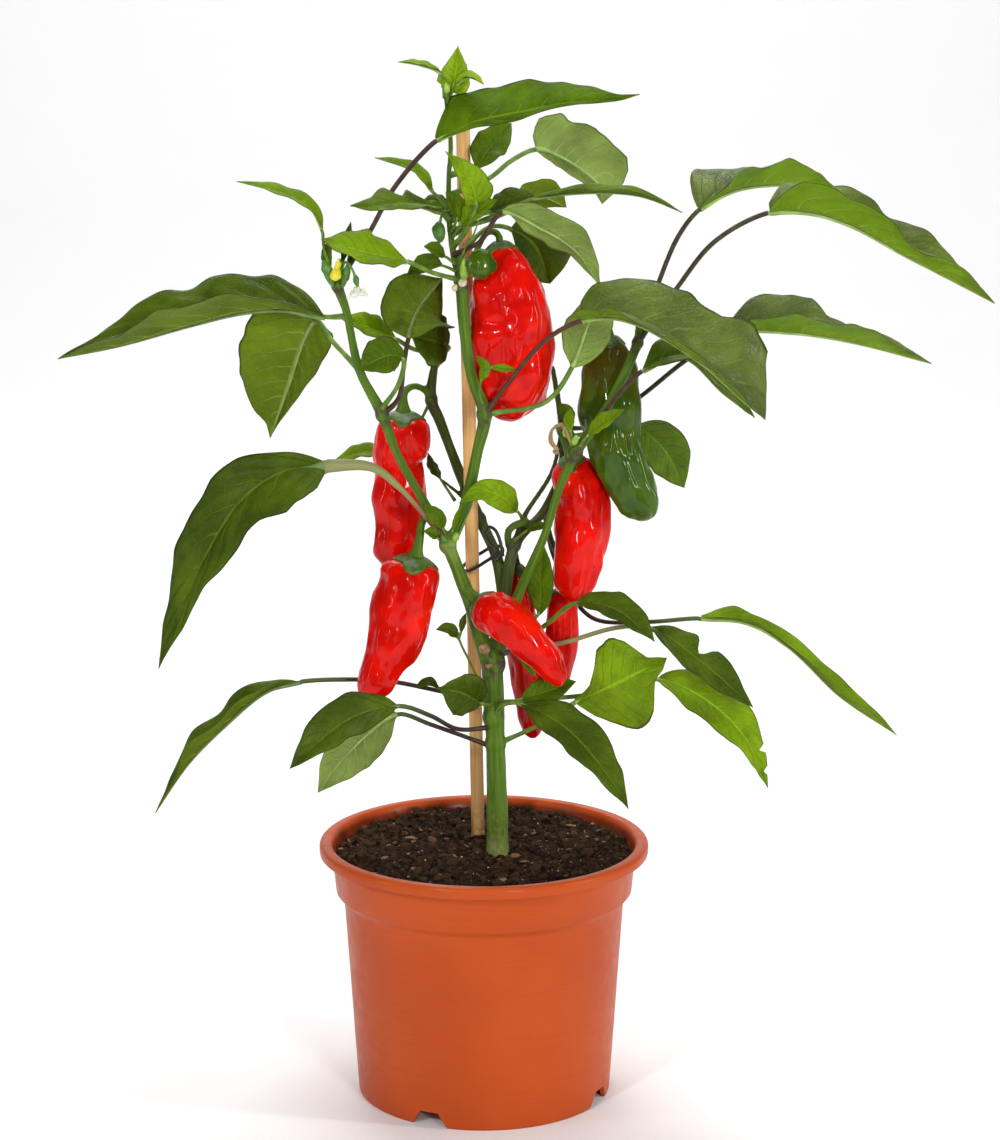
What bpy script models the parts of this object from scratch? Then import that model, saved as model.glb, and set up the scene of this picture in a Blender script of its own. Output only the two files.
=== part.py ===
"""Potted sweet pepper plant: a nursery pot of soil, a staked and branching plant, its fruits and leaves.

Frame: +Z up, origin at the centre of the pot's underside, +X to the plant's right, -Y to its front.
Points and sizes below are in millimetres; meshes are made in metres.
"""

import math

import bmesh
import bpy
import numpy as np

MM = 0.001
GAP = 0.3                      # clearance between touching pieces

# Pot: a turned nursery pot with a flared lip, a collar, a shoulder step and a tapered body.
RIM_RADIUS = 85.0
POT_HEIGHT = 134.0
WALL = 1.5
LIP_HEIGHT = 6.0
RIM_INNER_RADIUS = 78.2
COLLAR_TOP_RADIUS = 78.6
COLLAR_FOOT_RADIUS = 76.4
COLLAR_HEIGHT = 20.0
SHOULDER_RADIUS = 72.5
SHOULDER_DROP = 3.0
FOOT_RADIUS = 65.6
FLOOR_HEIGHT = 8.3             # underside of the raised ring of the floor
PAD_RADIUS = 34.0              # the floor's middle stands on the ground
PAD_SLOPE = 4.0
POT_SEGMENTS = 40
NOTCH_AZIMUTHS = (-115.0, -25.0, 65.0, 155.0)
NOTCH_FOOT_WIDTH = 21.0
NOTCH_TOP_WIDTH = 11.0
NOTCH_HEIGHT = 8.0
DRAIN_RADIUS = 4.5
DRAIN_CIRCLE = 52.0

# Soil: it fills the pot to a little below the rim.
SOIL_EDGE_HEIGHT = 126.0
SOIL_CROWN = 1.5

# Stake: a straight dowel behind the stem.
STAKE_RADIUS = 3.5
STAKE_FOOT = (-1.2, 27.5, 28.0)
STAKE_TOP = (-10.3, 15.7, 503.0)

# Stem: the junctions that several branches share.
TRUNK_FOOT = (7, -2, 92)
FORK = (4, -2, 232)
LEFT_NODE = (-18, -12, 292)
OUTER_LEFT_NODE = (-50, -24, 360)
OUTER_LEFT_TOP = (-71, -33, 425)
INNER_NODE = (2, -17, 360)
CROWN_NODE = (-11, -10, 425)
CROWN_TOP = (-19, 0, 515)
BACK_NODE = (-27, 36, 358)
BACK_TOP = (-24, 34, 384)
REAR_NODE = (16, 12, 287)
REAR_UPPER = (40, 30, 344)
RIGHT_NODE = (46, -8, 338)
OUTER_RIGHT_NODE = (77, -4, 393)

# Each branch: its route, and its radius at each point of the route.
BRANCHES = {
    "trunk": (
        [TRUNK_FOOT, (7, -2, 122), (7, -2, 129), (7, -2, 140), (6, -2, 185), (5, -2, 209), FORK],
        [5.0, 5.6, 6.2, 5.3, 5.3, 5.2, 5.2]),
    "left_arm": (
        [(4, -2, 223), (-1, -2, 240), (-6, -3, 258), (-13, -8, 278), LEFT_NODE],
        [4.6, 4.4, 3.9, 3.5, 3.8]),
    "left_outer_branch": (
        [LEFT_NODE, (-28, -15, 311), (-43, -21, 340), OUTER_LEFT_NODE,
         (-61, -28, 383), (-67, -32, 413), OUTER_LEFT_TOP, (-72, -34, 430)],
        [3.4, 2.8, 2.6, 3.2, 2.5, 2.4, 2.9, 0.5]),
    "left_inner_branch": (
        [LEFT_NODE, (-13, -13, 301), (-7, -14, 320), (-2, -16, 351), INNER_NODE,
         (-4, -17, 391), (-10, -12, 418), CROWN_NODE],
        [3.4, 3.0, 2.9, 2.9, 3.6, 2.8, 2.7, 3.2]),
    "leader": (
        [CROWN_NODE, (-14, -8, 434), (-17, -5, 457), (-17, -4, 474), (-16, -2, 493), CROWN_TOP],
        [2.4, 1.8, 1.6, 1.5, 1.3, 0.6]),
    "back_arm": (
        [(5, 1, 234), (10, 6, 254), (7, 16, 278), (-2, 28, 297), (-12, 34, 319),
         (-23, 36, 348), BACK_NODE, BACK_TOP],
        [3.8, 3.4, 3.2, 3.0, 2.8, 2.7, 3.2, 1.6]),
    "back_twig": (
        [(-2, 28, 297), (-11, 31, 308), (-22, 33, 317)],
        [1.6, 1.2, 0.9]),
    "right_arm": (
        [(6, 0, 228), (11, 2, 245), (18, 2, 264), (31, -2, 295), (38, -6, 319), RIGHT_NODE],
        [4.2, 3.9, 3.6, 3.2, 3.0, 3.5]),
    "right_outer_branch": (
        [RIGHT_NODE, (63, -8, 363), OUTER_RIGHT_NODE, (81, -2, 408)],
        [2.8, 2.4, 2.6, 1.6]),
    "rear_branch": (
        [(10, 6, 255), REAR_NODE, (31, 26, 302), (40, 32, 322), REAR_UPPER, (35, 28, 377)],
        [3.0, 2.8, 2.4, 2.2, 2.2, 1.2]),
    "middle_twig": (
        [REAR_NODE, (20, 14, 300), (35, 23, 323), REAR_UPPER],
        [1.8, 1.5, 1.3, 1.2]),
}

# Each fruit: the points of its bent middle line from the calyx to the tip, its radius at each,
# the points of its stalk before the calyx, and its colour.
FRUITS = {
    "pepper_top": (
        [(13, 5, 440), (14, 3, 426), (15, 1, 399), (17, -1, 372), (19, -2, 356)],
        [6, 18, 21, 19, 10], [CROWN_NODE, (-3, -4, 439), (8, 2, 450)], "red"),
    "pepper_left": (
        [(-37, 24, 350), (-41, 24, 337), (-43, 23, 313), (-45, 20, 288), (-48, 19, 278)],
        [6, 14, 15, 13, 6], [BACK_NODE, (-31, 34, 364)], "red"),
    "pepper_lower_left": (
        [(-35, -12, 284), (-36, -13, 271), (-42, -15, 248), (-53, -18, 226), (-59, -20, 214)],
        [6, 14, 16, 13, 7], [LEFT_NODE, (-25, -7, 300), (-32, -8, 297)], "red"),
    "pepper_front": (
        [(0, -10, 263), (7, -15, 262), (19, -20, 254), (31, -24, 239), (37, -27, 223)],
        [5, 10, 11.5, 11, 5], [(-6, -3, 260)], "red"),
    "pepper_right": (
        [(43, 15, 329), (46, 15, 319), (51, 14, 297), (50, 11, 274), (48, 9, 259)],
        [5, 13, 16, 13, 6], [RIGHT_NODE, (44, 0, 348), (38, 8, 347)], "red"),
    "pepper_green": (
        [(68, 16, 393), (62, 17, 379), (63, 18, 356), (71, 16, 328), (81, 12, 303)],
        [6, 15, 17, 15, 8], [OUTER_RIGHT_NODE, (77, 5, 405), (73, 12, 407)], "green"),
    "pepper_rear_right": (
        [(42, 26, 260), (42, 26, 252), (40, 26, 234), (38, 25, 215), (37, 24, 206)],
        [4, 8, 9, 7, 4], [(31, 26, 302), (36, 33, 282), (41, 30, 273)], "red"),
    "pepper_rear": (
        [(16, 21, 273), (16, 22, 261), (18, 23, 234), (22, 23, 202), (24, 22, 181)],
        [4, 8, 9.5, 8, 4], [(25, 20, 295), (20, 10, 299), (13, 6, 296), (13, 12, 286)], "red"),
    "pepper_young": (
        [(-6, -16, 435), (-4, -17, 434), (-1, -18, 433), (3, -18, 432), (6, -18, 432)],
        [3, 6, 8, 7.5, 4], [CROWN_NODE], "green"),
}
STALK_RADIUS = 1.7
CALYX_SLOPE = 1.35             # the calyx's length for each millimetre of the shoulder's radius
CALYX_RIM = 1.0
CALYX_SHARE = 0.85             # the calyx covers this share of the fruit's flat shoulder
FRUIT_LOBES = 3
LOBE_DEPTH = 0.06

# Each leaf: its route from the stem to the tip, the route point where the blade starts, the blade's
# full width, the way its upper side looks at the base and at the tip, and how far it folds (degrees).
LEAVES = {
    "crown_upright": (
        [CROWN_TOP, (-18, 0, 517), (-15, 0, 527), (-12, 2, 539)],
        1, 13, (-0.2, -1, 0.2), (-0.2, -1, 0.2), 20),
    "crown_left": (
        [(-17, -2, 500), (-23, -5, 514), (-32, -8, 525), (-42, -9, 531)],
        2, 8, (0, -0.5, 1), (0, -0.3, 1), 20),
    "top_long": (
        [OUTER_LEFT_TOP, (-55, -23, 451), (-43, -18, 472), (-23, -19, 497), (-1, -19, 507),
         (28, -18, 516), (53, -18, 517), (75, -18, 515)],
        3, 41, (-0.2, -0.32, 1), (0, -0.25, 1), 22),
    "young_left": (
        [(-17, -5, 461), (-25, -2, 468), (-33, 4, 477), (-54, 9, 484)],
        1, 14, (0.2, -0.5, 1), (0, -0.4, 1), 25),
    "young_front": (
        [(-15, -7, 441), (-8, -20, 451), (-2, -26, 466), (-4, -30, 479), (-18, -30, 490)],
        2, 26, (0.1, -1, 0.2), (-0.2, -1, 0.6), 15),
    "small_upper_back": (
        [(-17, -4, 476), (-4, 7, 479), (2, 14, 487), (14, 24, 500)],
        1, 18, (-0.3, -1, 0.1), (-0.3, -1, 0.1), 15),
    "upper_right_curled": (
        [(-17, -4, 466), (3, 6, 474), (14, 15, 482), (27, 24, 486), (41, 36, 486), (56, 47, 479),
         (61, 54, 469), (59, 58, 456)],
        3, 44, (-0.1, 0.7, 0.8), (0.8, 0.6, 0.2), 12),
    "upper_right_slim": (
        [(-16, -6, 446), (-5, -10, 453), (8, -17, 459), (25, -18, 466), (52, -18, 469), (77, -16, 467),
         (98, -15, 459)],
        3, 26, (0, -0.05, 1), (0, -0.05, 1), 35),
    "pale_round": (
        [(-16, -6, 449), (-7, 2, 451), (3, 10, 453), (14, 18, 457), (28, 28, 463), (42, 36, 457)],
        3, 24, (0, 0.8, 0.6), (0, 0.8, 0.8), 10),
    "small_dark": (
        [(-17, -5, 454), (-6, -4, 456), (3, -2, 458), (18, 3, 462), (29, 6, 459)],
        2, 18, (0, -0.7, 0.8), (0, -0.7, 0.8), 20),
    "over_pepper": (
        [(-14, -8, 437), (-9, -18, 441), (-1, -25, 446), (10, -31, 461), (28, -37, 454), (45, -37, 443),
         (58, -34, 424)],
        3, 28, (0.1, 0.75, 0.6), (0.7, 0.6, 0.4), 12),
    "upper_left_lobed": (
        [(-17, -6, 454), (-21, -12, 459), (-38, -32, 465), (-53, -41, 464), (-64, -43, 465)],
        1, 24, (0, -0.5, 1), (0, -0.5, 1), 15),
    "young_far_left": (
        [OUTER_LEFT_TOP, (-77, -37, 443), (-78, -38, 453), (-83, -38, 463), (-96, -37, 470),
         (-119, -36, 476)],
        2, 14, (0.6, -0.5, 0.8), (0, -0.35, 1), 22),
    "young_left_low": (
        [CROWN_NODE, (-26, -26, 431), (-37, -34, 437), (-57, -42, 442), (-78, -44, 449)],
        2, 26, (0, -0.6, 1), (0, -0.6, 1), 15),
    "left_arching": (
        [(-68, -32, 409), (-78, -27, 409), (-97, -20, 413), (-120, -9, 409), (-147, 3, 400),
         (-184, 16, 388), (-217, 26, 381)],
        1, 48, (0, -0.02, 1), (0, -0.05, 1), 40),
    "left_hanging": (
        [(-65, -28, 382), (-73, -19, 393), (-81, -9, 398), (-89, -2, 395), (-97, 7, 374),
         (-109, 20, 341)],
        2, 50, (0.1, 0.85, 0.5), (-0.2, 0.9, 0.2), 10),
    "left_inner_bright": (
        [BACK_TOP, (-35, 29, 385), (-45, 26, 391), (-57, 20, 397), (-72, 14, 403)],
        2, 16, (0, -0.7, 0.7), (0, -0.7, 0.7), 15),
    "left_inner_upright": (
        [OUTER_LEFT_NODE, (-42, -26, 368), (-39, -23, 386), (-37, -18, 397), (-32, -5, 410),
         (-21, 14, 423)],
        3, 40, (0.3, 0.9, 0.4), (0.3, 0.9, 0.4), 12),
    "left_inner_small": (
        [(-49, -25, 362), (-41, -36, 378), (-39, -40, 390), (-46, -43, 392), (-60, -48, 386)],
        2, 20, (0, -0.9, 0.5), (0, -0.9, 0.5), 12),
    "left_inner_dark": (
        [BACK_TOP, (-19, 27, 385), (-18, 19, 388), (-26, 11, 392), (-36, 6, 395)],
        2, 28, (0.2, -0.95, 0.3), (0.2, -0.95, 0.3), 12),
    "left_broad": (
        [LEFT_NODE, (-41, -31, 324), (-55, -38, 336), (-78, -41, 337), (-97, -42, 335),
         (-117, -43, 322), (-136, -45, 294), (-161, -50, 237)],
        3, 43, (-0.3, -0.75, 0.6), (-0.8, -0.6, 0.2), 14),
    "left_back_small": (
        [BACK_NODE, (-38, 51, 337), (-50, 57, 327), (-63, 58, 327), (-78, 58, 323)],
        2, 12, (0, -0.6, 1), (0, -0.6, 1), 15),
    "low_left_slim": (
        [(2, -5, 207), (-22, 3, 212), (-48, 4, 217), (-69, 0, 219), (-94, -5, 219), (-110, -10, 216),
         (-131, -19, 200), (-150, -26, 181), (-166, -34, 158)],
        4, 30, (0, -0.05, 1), (-0.9, -0.1, 0.5), 35),
    "low_left_dark": (
        [(5, -2, 195), (-13, -16, 197), (-27, -27, 207), (-43, -39, 215), (-66, -48, 211),
         (-96, -58, 188)],
        3, 30, (-0.1, -0.8, 0.6), (-0.5, -0.7, 0.5), 15),
    "low_left_pale": (
        [(1, -7, 183), (-27, -7, 197), (-44, -5, 202), (-59, -2, 191), (-76, 3, 172), (-86, 7, 157)],
        2, 26, (0.2, 0.9, 0.1), (0.2, 0.9, 0.1), 10),
    "stake_dark": (
        [(2, -7, 206), (-1, -14, 210), (-11, -24, 218), (-22, -34, 223)],
        1, 24, (0, -1, 0.1), (0, -1, 0.1), 8),
    "centre_bright": (
        [(20, 14, 300), (18, 6, 306), (8, -12, 317), (-10, -28, 321)],
        1, 22, (0.2, -1, 0.1), (0.2, -1, 0.1), 15),
    "right_pale_veined": (
        [INNER_NODE, (31, -22, 366), (44, -20, 383), (52, -12, 402), (60, 0, 420)],
        2, 25, (0.3, 0.9, 0.2), (0.3, 0.9, 0.2), 10),
    "right_broad": (
        [INNER_NODE, (30, -42, 399), (57, -55, 413), (75, -61, 410), (105, -67, 392), (124, -70, 375),
         (136, -70, 365)],
        2, 66, (0, -0.15, 1), (0.6, -0.4, 0.7), 38),
    "right_under": (
        [RIGHT_NODE, (63, -15, 363), (79, -18, 381), (99, -17, 388), (120, -13, 369), (136, -8, 356)],
        2, 34, (0, -0.3, 1), (0.5, -0.4, 0.8), 20),
    "far_right_upper": (
        [OUTER_RIGHT_NODE, (86, 7, 417), (98, 18, 444), (109, 24, 457), (127, 33, 466), (153, 41, 467),
         (179, 48, 463)],
        3, 44, (0, -0.05, 1), (0.1, -0.1, 1), 38),
    "far_right_long": (
        [OUTER_RIGHT_NODE, (95, -11, 420), (114, -17, 445), (141, -21, 459), (169, -25, 460),
         (194, -27, 454), (221, -28, 437), (251, -28, 416)],
        3, 54, (0, 0, 1), (0.5, -0.05, 0.9), 40),
    "right_arching": (
        [REAR_UPPER, (60, 42, 344), (82, 41, 360), (103, 31, 379), (126, 22, 395), (155, 16, 396),
         (185, 9, 392), (225, 2, 382)],
        4, 44, (0, 0, 1), (0.2, -0.05, 1), 40),
    "right_back_pale": (
        [(40, 31, 339), (63, 49, 340), (79, 53, 341), (93, 55, 330), (105, 58, 308)],
        2, 26, (0.1, -0.9, 0.3), (0.3, -0.9, 0.2), 10),
    "low_right_dark": (
        [(13, 2, 250), (24, 2, 243), (33, -1, 249), (47, -8, 261), (67, -16, 259), (86, -26, 245)],
        3, 20, (0.1, -0.6, 0.9), (0.5, -0.6, 0.6), 18),
    "low_right_bright": (
        [(5, -4, 185), (29, -6, 197), (47, -4, 207), (65, -4, 216), (94, -2, 230)],
        2, 42, (0, -1, 0.1), (0, -1, 0.1), 6),
    "low_right_notched": (
        [(8, 0, 232), (40, 5, 237), (68, 1, 246), (85, -4, 247), (109, -15, 233), (136, -26, 211)],
        3, 27, (0, -0.6, 0.9), (0.4, -0.7, 0.6), 15),
    "low_right_slim": (
        [(31, 26, 301), (37, 41, 273), (55, 41, 243), (83, 23, 244), (112, 18, 247), (135, 16, 244),
         (157, 15, 231), (184, 13, 206), (214, 14, 186)],
        4, 26, (0, 0, 1), (0.5, -0.05, 0.9), 35),
    "low_right_torn": (
        [(7, 3, 207), (29, 6, 207), (60, 7, 210), (89, 1, 219), (112, -7, 211), (132, -18, 194),
         (144, -30, 170)],
        3, 35, (0.1, -0.7, 0.8), (0.6, -0.7, 0.4), 12),
    "low_front_dark": (
        [(5, -2, 199), (11, -19, 211), (19, -26, 213), (41, -40, 204), (58, -52, 188), (72, -64, 169)],
        2, 29, (0.1, -0.6, 0.8), (0.6, -0.6, 0.5), 14),
    "low_front_small": (
        [(5, -2, 207), (12, -9, 209), (19, -9, 211), (33, -8, 215), (47, -8, 220)],
        2, 15, (0, -0.8, 0.6), (0, -0.8, 0.6), 15),
    "behind_arm": (
        [(12, 3, 247), (21, 7, 247), (28, 9, 251), (29, 9, 269), (30, 8, 289)],
        2, 14, (-0.1, -1, 0.1), (-0.1, -1, 0.1), 10),
    "behind_pepper": (
        [(-13, -4, 433), (2, 19, 448), (14, 33, 446), (26, 39, 437), (34, 43, 417)],
        2, 40, (0, -0.9, 0.5), (0, -0.95, 0.1), 10),
}
BLADE_THICKNESS = 0.8
PETIOLE_RADIUS = 1.0
PETIOLE_STEP = 13.0
BLADE_STATIONS = (0.0, 0.05, 0.13, 0.24, 0.36, 0.5, 0.65, 0.8, 0.92, 1.0)
STEM_CLEARANCE = 0.60          # from a leaf's pointed foot to the stem's surface

# Wire tie: round the stake and the back arm, ending in an open loop.
TIE_RADIUS = 0.9
TIE_ROUTE = [(9.5, 11.5, 289), (3.5, 12.5, 283), (-3, 15.2, 278), (-9.5, 16.2, 273),
             (-11.8, 21, 270), (-9, 26.4, 270), (-3, 27.6, 274), (4, 24.5, 279),
             (11.3, 20, 285), (12, 14.5, 290), (9, 9.5, 293), (5, 9.5, 296)]

COLOURS = {
    "terracotta": (0.56, 0.14, 0.05),
    "soil": (0.035, 0.02, 0.012),
    "wood": (0.62, 0.38, 0.18),
    "stem": (0.07, 0.15, 0.02),
    "leaf": (0.06, 0.14, 0.015),
    "red": (0.62, 0.01, 0.005),
    "green": (0.04, 0.12, 0.01),
    "wire": (0.01, 0.01, 0.012),
}
ROUGHNESS = {"terracotta": 0.45, "soil": 0.95, "wood": 0.6, "stem": 0.5, "leaf": 0.45,
             "red": 0.12, "green": 0.15, "wire": 0.5}


def unit(vector):
    """The vector at length one."""
    return vector / np.linalg.norm(vector)


def smooth_curve(points, per_span=12):
    """A centripetal Catmull-Rom curve through the points, sampled per_span times a span."""
    pts = np.array(points, float)
    ends = [2 * pts[0] - pts[1]], [2 * pts[-1] - pts[-2]]
    pts = np.concatenate([ends[0], pts, ends[1]])
    samples = []
    for a, b, c, d in zip(pts, pts[1:], pts[2:], pts[3:]):
        knots = np.cumsum([0] + [np.linalg.norm(q - p) ** 0.5 for p, q in ((a, b), (b, c), (c, d))])
        for t in np.linspace(knots[1], knots[2], per_span, endpoint=False):
            ab, bc, cd = (lerp(p, q, t, knots[i], knots[i + 1])
                          for i, (p, q) in enumerate(((a, b), (b, c), (c, d))))
            abc = lerp(ab, bc, t, knots[0], knots[2])
            bcd = lerp(bc, cd, t, knots[1], knots[3])
            samples.append(lerp(abc, bcd, t, knots[1], knots[2]))
    samples.append(pts[-2])
    return np.array(samples)


def lerp(start, end, t, t_start, t_end):
    """The point at t on the line from start at t_start to end at t_end."""
    return start + (end - start) * (t - t_start) / (t_end - t_start)


def lengths(curve):
    """The distance along the curve at each of its samples."""
    return np.concatenate([[0], np.cumsum(np.linalg.norm(np.diff(curve, axis=0), axis=1))])


def along(curve, distance):
    """The point and the direction at a distance along the curve."""
    marks = lengths(curve)

    def point(mark):
        return np.array([np.interp(mark, marks, curve[:, axis]) for axis in range(3)])

    ahead = min(distance + 1.5, marks[-1])
    behind = max(distance - 1.5, 0)
    return point(distance), unit(point(ahead) - point(behind))


def material(name, colour):
    """A Principled material of one of the named colours."""
    made = bpy.data.materials.new(name)
    made.use_nodes = True
    shader = made.node_tree.nodes["Principled BSDF"]
    shader.inputs["Base Color"].default_value = (*COLOURS[colour], 1)
    shader.inputs["Roughness"].default_value = ROUGHNESS[colour]
    shader.inputs["Metallic"].default_value = 0.0
    return made


def place(name, mesh, collection, colour=None):
    """An object for the mesh, in the collection, with its own material."""
    made = bpy.data.objects.new(name, mesh)
    collection.objects.link(made)
    if colour:
        mesh.materials.append(material(name, colour))
    return made


def hide(tool):
    """A cutter or an operand isn't a piece of the object."""
    tool.hide_render = True
    tool.display_type = "WIRE"


def boolean(target, operation, operand):
    """An exact Boolean of the target with an object or with a collection of objects."""
    modifier = target.modifiers.new(operation.lower(), "BOOLEAN")
    modifier.operation = operation
    modifier.solver = "EXACT"
    if isinstance(operand, bpy.types.Collection):
        modifier.operand_type = "COLLECTION"
        modifier.collection = operand
    else:
        modifier.object = operand


def turned(name, profile, collection, colour):
    """A solid turned about Z from a profile of (radius, height) points that runs down its outside."""
    mesh = bpy.data.meshes.new(name)
    points = [(radius * MM, 0, height * MM) for radius, height in profile]
    mesh.from_pydata(points, [(i, i + 1) for i in range(len(points) - 1)], [])
    made = place(name, mesh, collection, colour)
    screw = made.modifiers.new("turn", "SCREW")
    screw.steps = screw.render_steps = POT_SEGMENTS
    screw.use_merge_vertices = True
    screw.merge_threshold = 0.0001
    return made


def tube(name, route, radii, collection, resolution=2, step=12.0, colour=None):
    """A round tube along a smooth curve, its radius read from the radii at the route's points."""
    curve = smooth_curve(route)
    marks = lengths(curve)
    knots = marks[::12]
    stations = [0]
    for near, far in zip(knots, knots[1:]):
        stations += list(np.linspace(near, far, math.ceil((far - near) / step) + 1)[1:])
    data = bpy.data.curves.new(name, "CURVE")
    data.dimensions = "3D"
    data.bevel_depth = MM
    data.bevel_resolution = resolution
    data.use_fill_caps = True
    spline = data.splines.new("POLY")
    spline.points.add(len(stations) - 1)
    for station, point in zip(stations, spline.points):
        point.co = (*(along(curve, station)[0] * MM), 1)
        point.radius = np.interp(station, knots, radii)
    curve_object = bpy.data.objects.new(name, data)
    collection.objects.link(curve_object)
    bpy.context.view_layer.update()
    depsgraph = bpy.context.evaluated_depsgraph_get()
    mesh = bpy.data.meshes.new_from_object(curve_object.evaluated_get(depsgraph))
    bpy.data.objects.remove(curve_object)
    weld = bmesh.new()
    weld.from_mesh(mesh)
    bmesh.ops.remove_doubles(weld, verts=weld.verts, dist=1e-6)
    bmesh.ops.recalc_face_normals(weld, faces=weld.faces)
    weld.to_mesh(mesh)
    weld.free()
    mesh.shade_smooth()
    mesh.set_sharp_from_angle(angle=math.radians(60))
    return place(name, mesh, collection, colour)


def loft(name, sections, collection, colour, closed_row=True):
    """A closed solid through rings of equal count, capped at both ends.

    Each ring is an upper row followed by a lower row, both from left to right. The two rows are
    split along the same diagonals, so that a thin twisted blade never cuts through itself.
    """
    count = len(sections[0])
    half = count // 2
    shell = bmesh.new()
    rings = [[shell.verts.new(point * MM) for point in ring] for ring in sections]
    for near, far in zip(rings, rings[1:]):
        for row in (range(half), range(half, count)):
            for i, j in zip(row, row[1:]):
                shell.faces.new((near[i], near[j], far[j]))
                shell.faces.new((near[i], far[j], far[i]))
        for i, j in ((half - 1, count - 1), (half, 0)):
            shell.faces.new((near[i], near[j], far[j], far[i]))
    for ring in (rings[0], rings[-1]):
        upper, lower = ring[:half], ring[half:]
        for i in range(half - 1):
            shell.faces.new((upper[i], upper[i + 1], lower[i + 1], lower[i]))
    bmesh.ops.recalc_face_normals(shell, faces=shell.faces)
    mesh = bpy.data.meshes.new(name)
    shell.to_mesh(mesh)
    shell.free()
    mesh.shade_smooth()
    mesh.set_sharp_from_angle(angle=math.radians(50))
    return place(name, mesh, collection, colour)


def cylinder(name, foot, top, radius, collection, segments=16, colour=None):
    """A cylinder between two points."""
    foot, top = np.array(foot, float), np.array(top, float)
    shell = bmesh.new()
    bmesh.ops.create_cone(shell, cap_ends=True, segments=segments, radius1=radius * MM,
                          radius2=radius * MM, depth=np.linalg.norm(top - foot) * MM)
    mesh = bpy.data.meshes.new(name)
    shell.to_mesh(mesh)
    shell.free()
    mesh.shade_smooth()
    mesh.set_sharp_from_angle(angle=math.radians(50))
    made = place(name, mesh, collection, colour)
    across, lean = unit(top - foot)[:2]
    made.location = (foot + top) / 2 * MM
    made.rotation_euler = (-math.asin(lean), math.asin(across / math.cos(math.asin(lean))), 0)
    return made


def pot_inside(offset):
    """The pot's inner profile from the middle of its floor to the soil's edge, moved inwards."""
    floor = FLOOR_HEIGHT + WALL + offset
    collar_foot = POT_HEIGHT - LIP_HEIGHT - COLLAR_HEIGHT
    return [
        (0, WALL + offset),
        (PAD_RADIUS - offset, WALL + offset),
        (PAD_RADIUS + PAD_SLOPE - offset, floor),
        (FOOT_RADIUS - WALL - offset, floor),
        (SHOULDER_RADIUS - WALL - offset, collar_foot - SHOULDER_DROP + offset),
        (COLLAR_FOOT_RADIUS - WALL - offset, collar_foot + offset),
    ]


def make_pot(parts, tools):
    """The pot: a thin turned shell with a rounded lip, a stepped collar and notches in its foot."""
    collar_foot = POT_HEIGHT - LIP_HEIGHT - COLLAR_HEIGHT
    lip_foot = POT_HEIGHT - LIP_HEIGHT
    profile = pot_inside(0) + [
        (COLLAR_TOP_RADIUS - WALL, lip_foot + 1),
        (RIM_INNER_RADIUS, POT_HEIGHT - 1.5),
        (RIM_INNER_RADIUS + 1.5, POT_HEIGHT),
        (RIM_RADIUS - 2, POT_HEIGHT),
        (RIM_RADIUS, POT_HEIGHT - 2),
        (RIM_RADIUS, lip_foot + 1.2),
        (RIM_RADIUS - 1.2, lip_foot),
        (COLLAR_TOP_RADIUS, lip_foot),
        (COLLAR_FOOT_RADIUS, collar_foot),
        (SHOULDER_RADIUS, collar_foot - SHOULDER_DROP),
        (FOOT_RADIUS, 1.2),
        (FOOT_RADIUS - 1, 0),
        (FOOT_RADIUS - WALL - 0.6, 0),
        (FOOT_RADIUS - WALL - 0.2, FLOOR_HEIGHT),
        (PAD_RADIUS + PAD_SLOPE, FLOOR_HEIGHT),
        (PAD_RADIUS, 0),
        (0, 0),
    ]
    pot = turned("pot", profile, parts, "terracotta")
    for number, azimuth in enumerate(NOTCH_AZIMUTHS):
        turn = math.radians(azimuth)
        shell = bmesh.new()
        bmesh.ops.create_cube(shell, size=1)
        for corner in shell.verts:
            width = NOTCH_TOP_WIDTH if corner.co.z > 0 else NOTCH_FOOT_WIDTH
            out = FOOT_RADIUS + corner.co.x * 16
            side = corner.co.y * width
            corner.co = (out * MM, side * MM, NOTCH_HEIGHT * MM if corner.co.z > 0 else -MM)
        mesh = bpy.data.meshes.new("notch")
        shell.to_mesh(mesh)
        shell.free()
        notch = place(f"notch_cutter_{number}", mesh, tools)
        notch.rotation_euler = (0, 0, turn)
        spot = (DRAIN_CIRCLE * math.cos(turn), DRAIN_CIRCLE * math.sin(turn))
        drain = cylinder(f"drain_cutter_{number}", (*spot, FLOOR_HEIGHT - 1),
                         (*spot, FLOOR_HEIGHT + WALL + 1), DRAIN_RADIUS, tools, segments=12)
        for cutter in (notch, drain):
            hide(cutter)
            boolean(pot, "DIFFERENCE", cutter)


def make_soil(parts, tools):
    """The soil: it fills the pot, with a hole round the stem's foot and one round the stake."""
    edge_radius = COLLAR_TOP_RADIUS - WALL - GAP - 0.5
    top = [(0, SOIL_EDGE_HEIGHT + SOIL_CROWN), (30, SOIL_EDGE_HEIGHT + 0.8 * SOIL_CROWN),
           (60, SOIL_EDGE_HEIGHT + 0.3 * SOIL_CROWN), (edge_radius, SOIL_EDGE_HEIGHT)]
    soil = turned("soil", top + pot_inside(GAP)[::-1], parts, "soil")
    x, y, _ = TRUNK_FOOT
    clear = GAP + 0.2
    stem_hole = cylinder("stem_hole_cutter", (x, y, TRUNK_FOOT[2] - clear), (x, y, POT_HEIGHT + 5),
                         max(BRANCHES["trunk"][1]) + clear, tools, segments=12)
    foot, top_end = np.array(STAKE_FOOT), np.array(STAKE_TOP)
    stake_hole = cylinder("stake_hole_cutter", foot - unit(top_end - foot) * clear,
                          foot + unit(top_end - foot) * 120, STAKE_RADIUS + clear, tools, segments=12)
    for cutter in (stem_hole, stake_hole):
        hide(cutter)
        boolean(soil, "DIFFERENCE", cutter)


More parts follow.
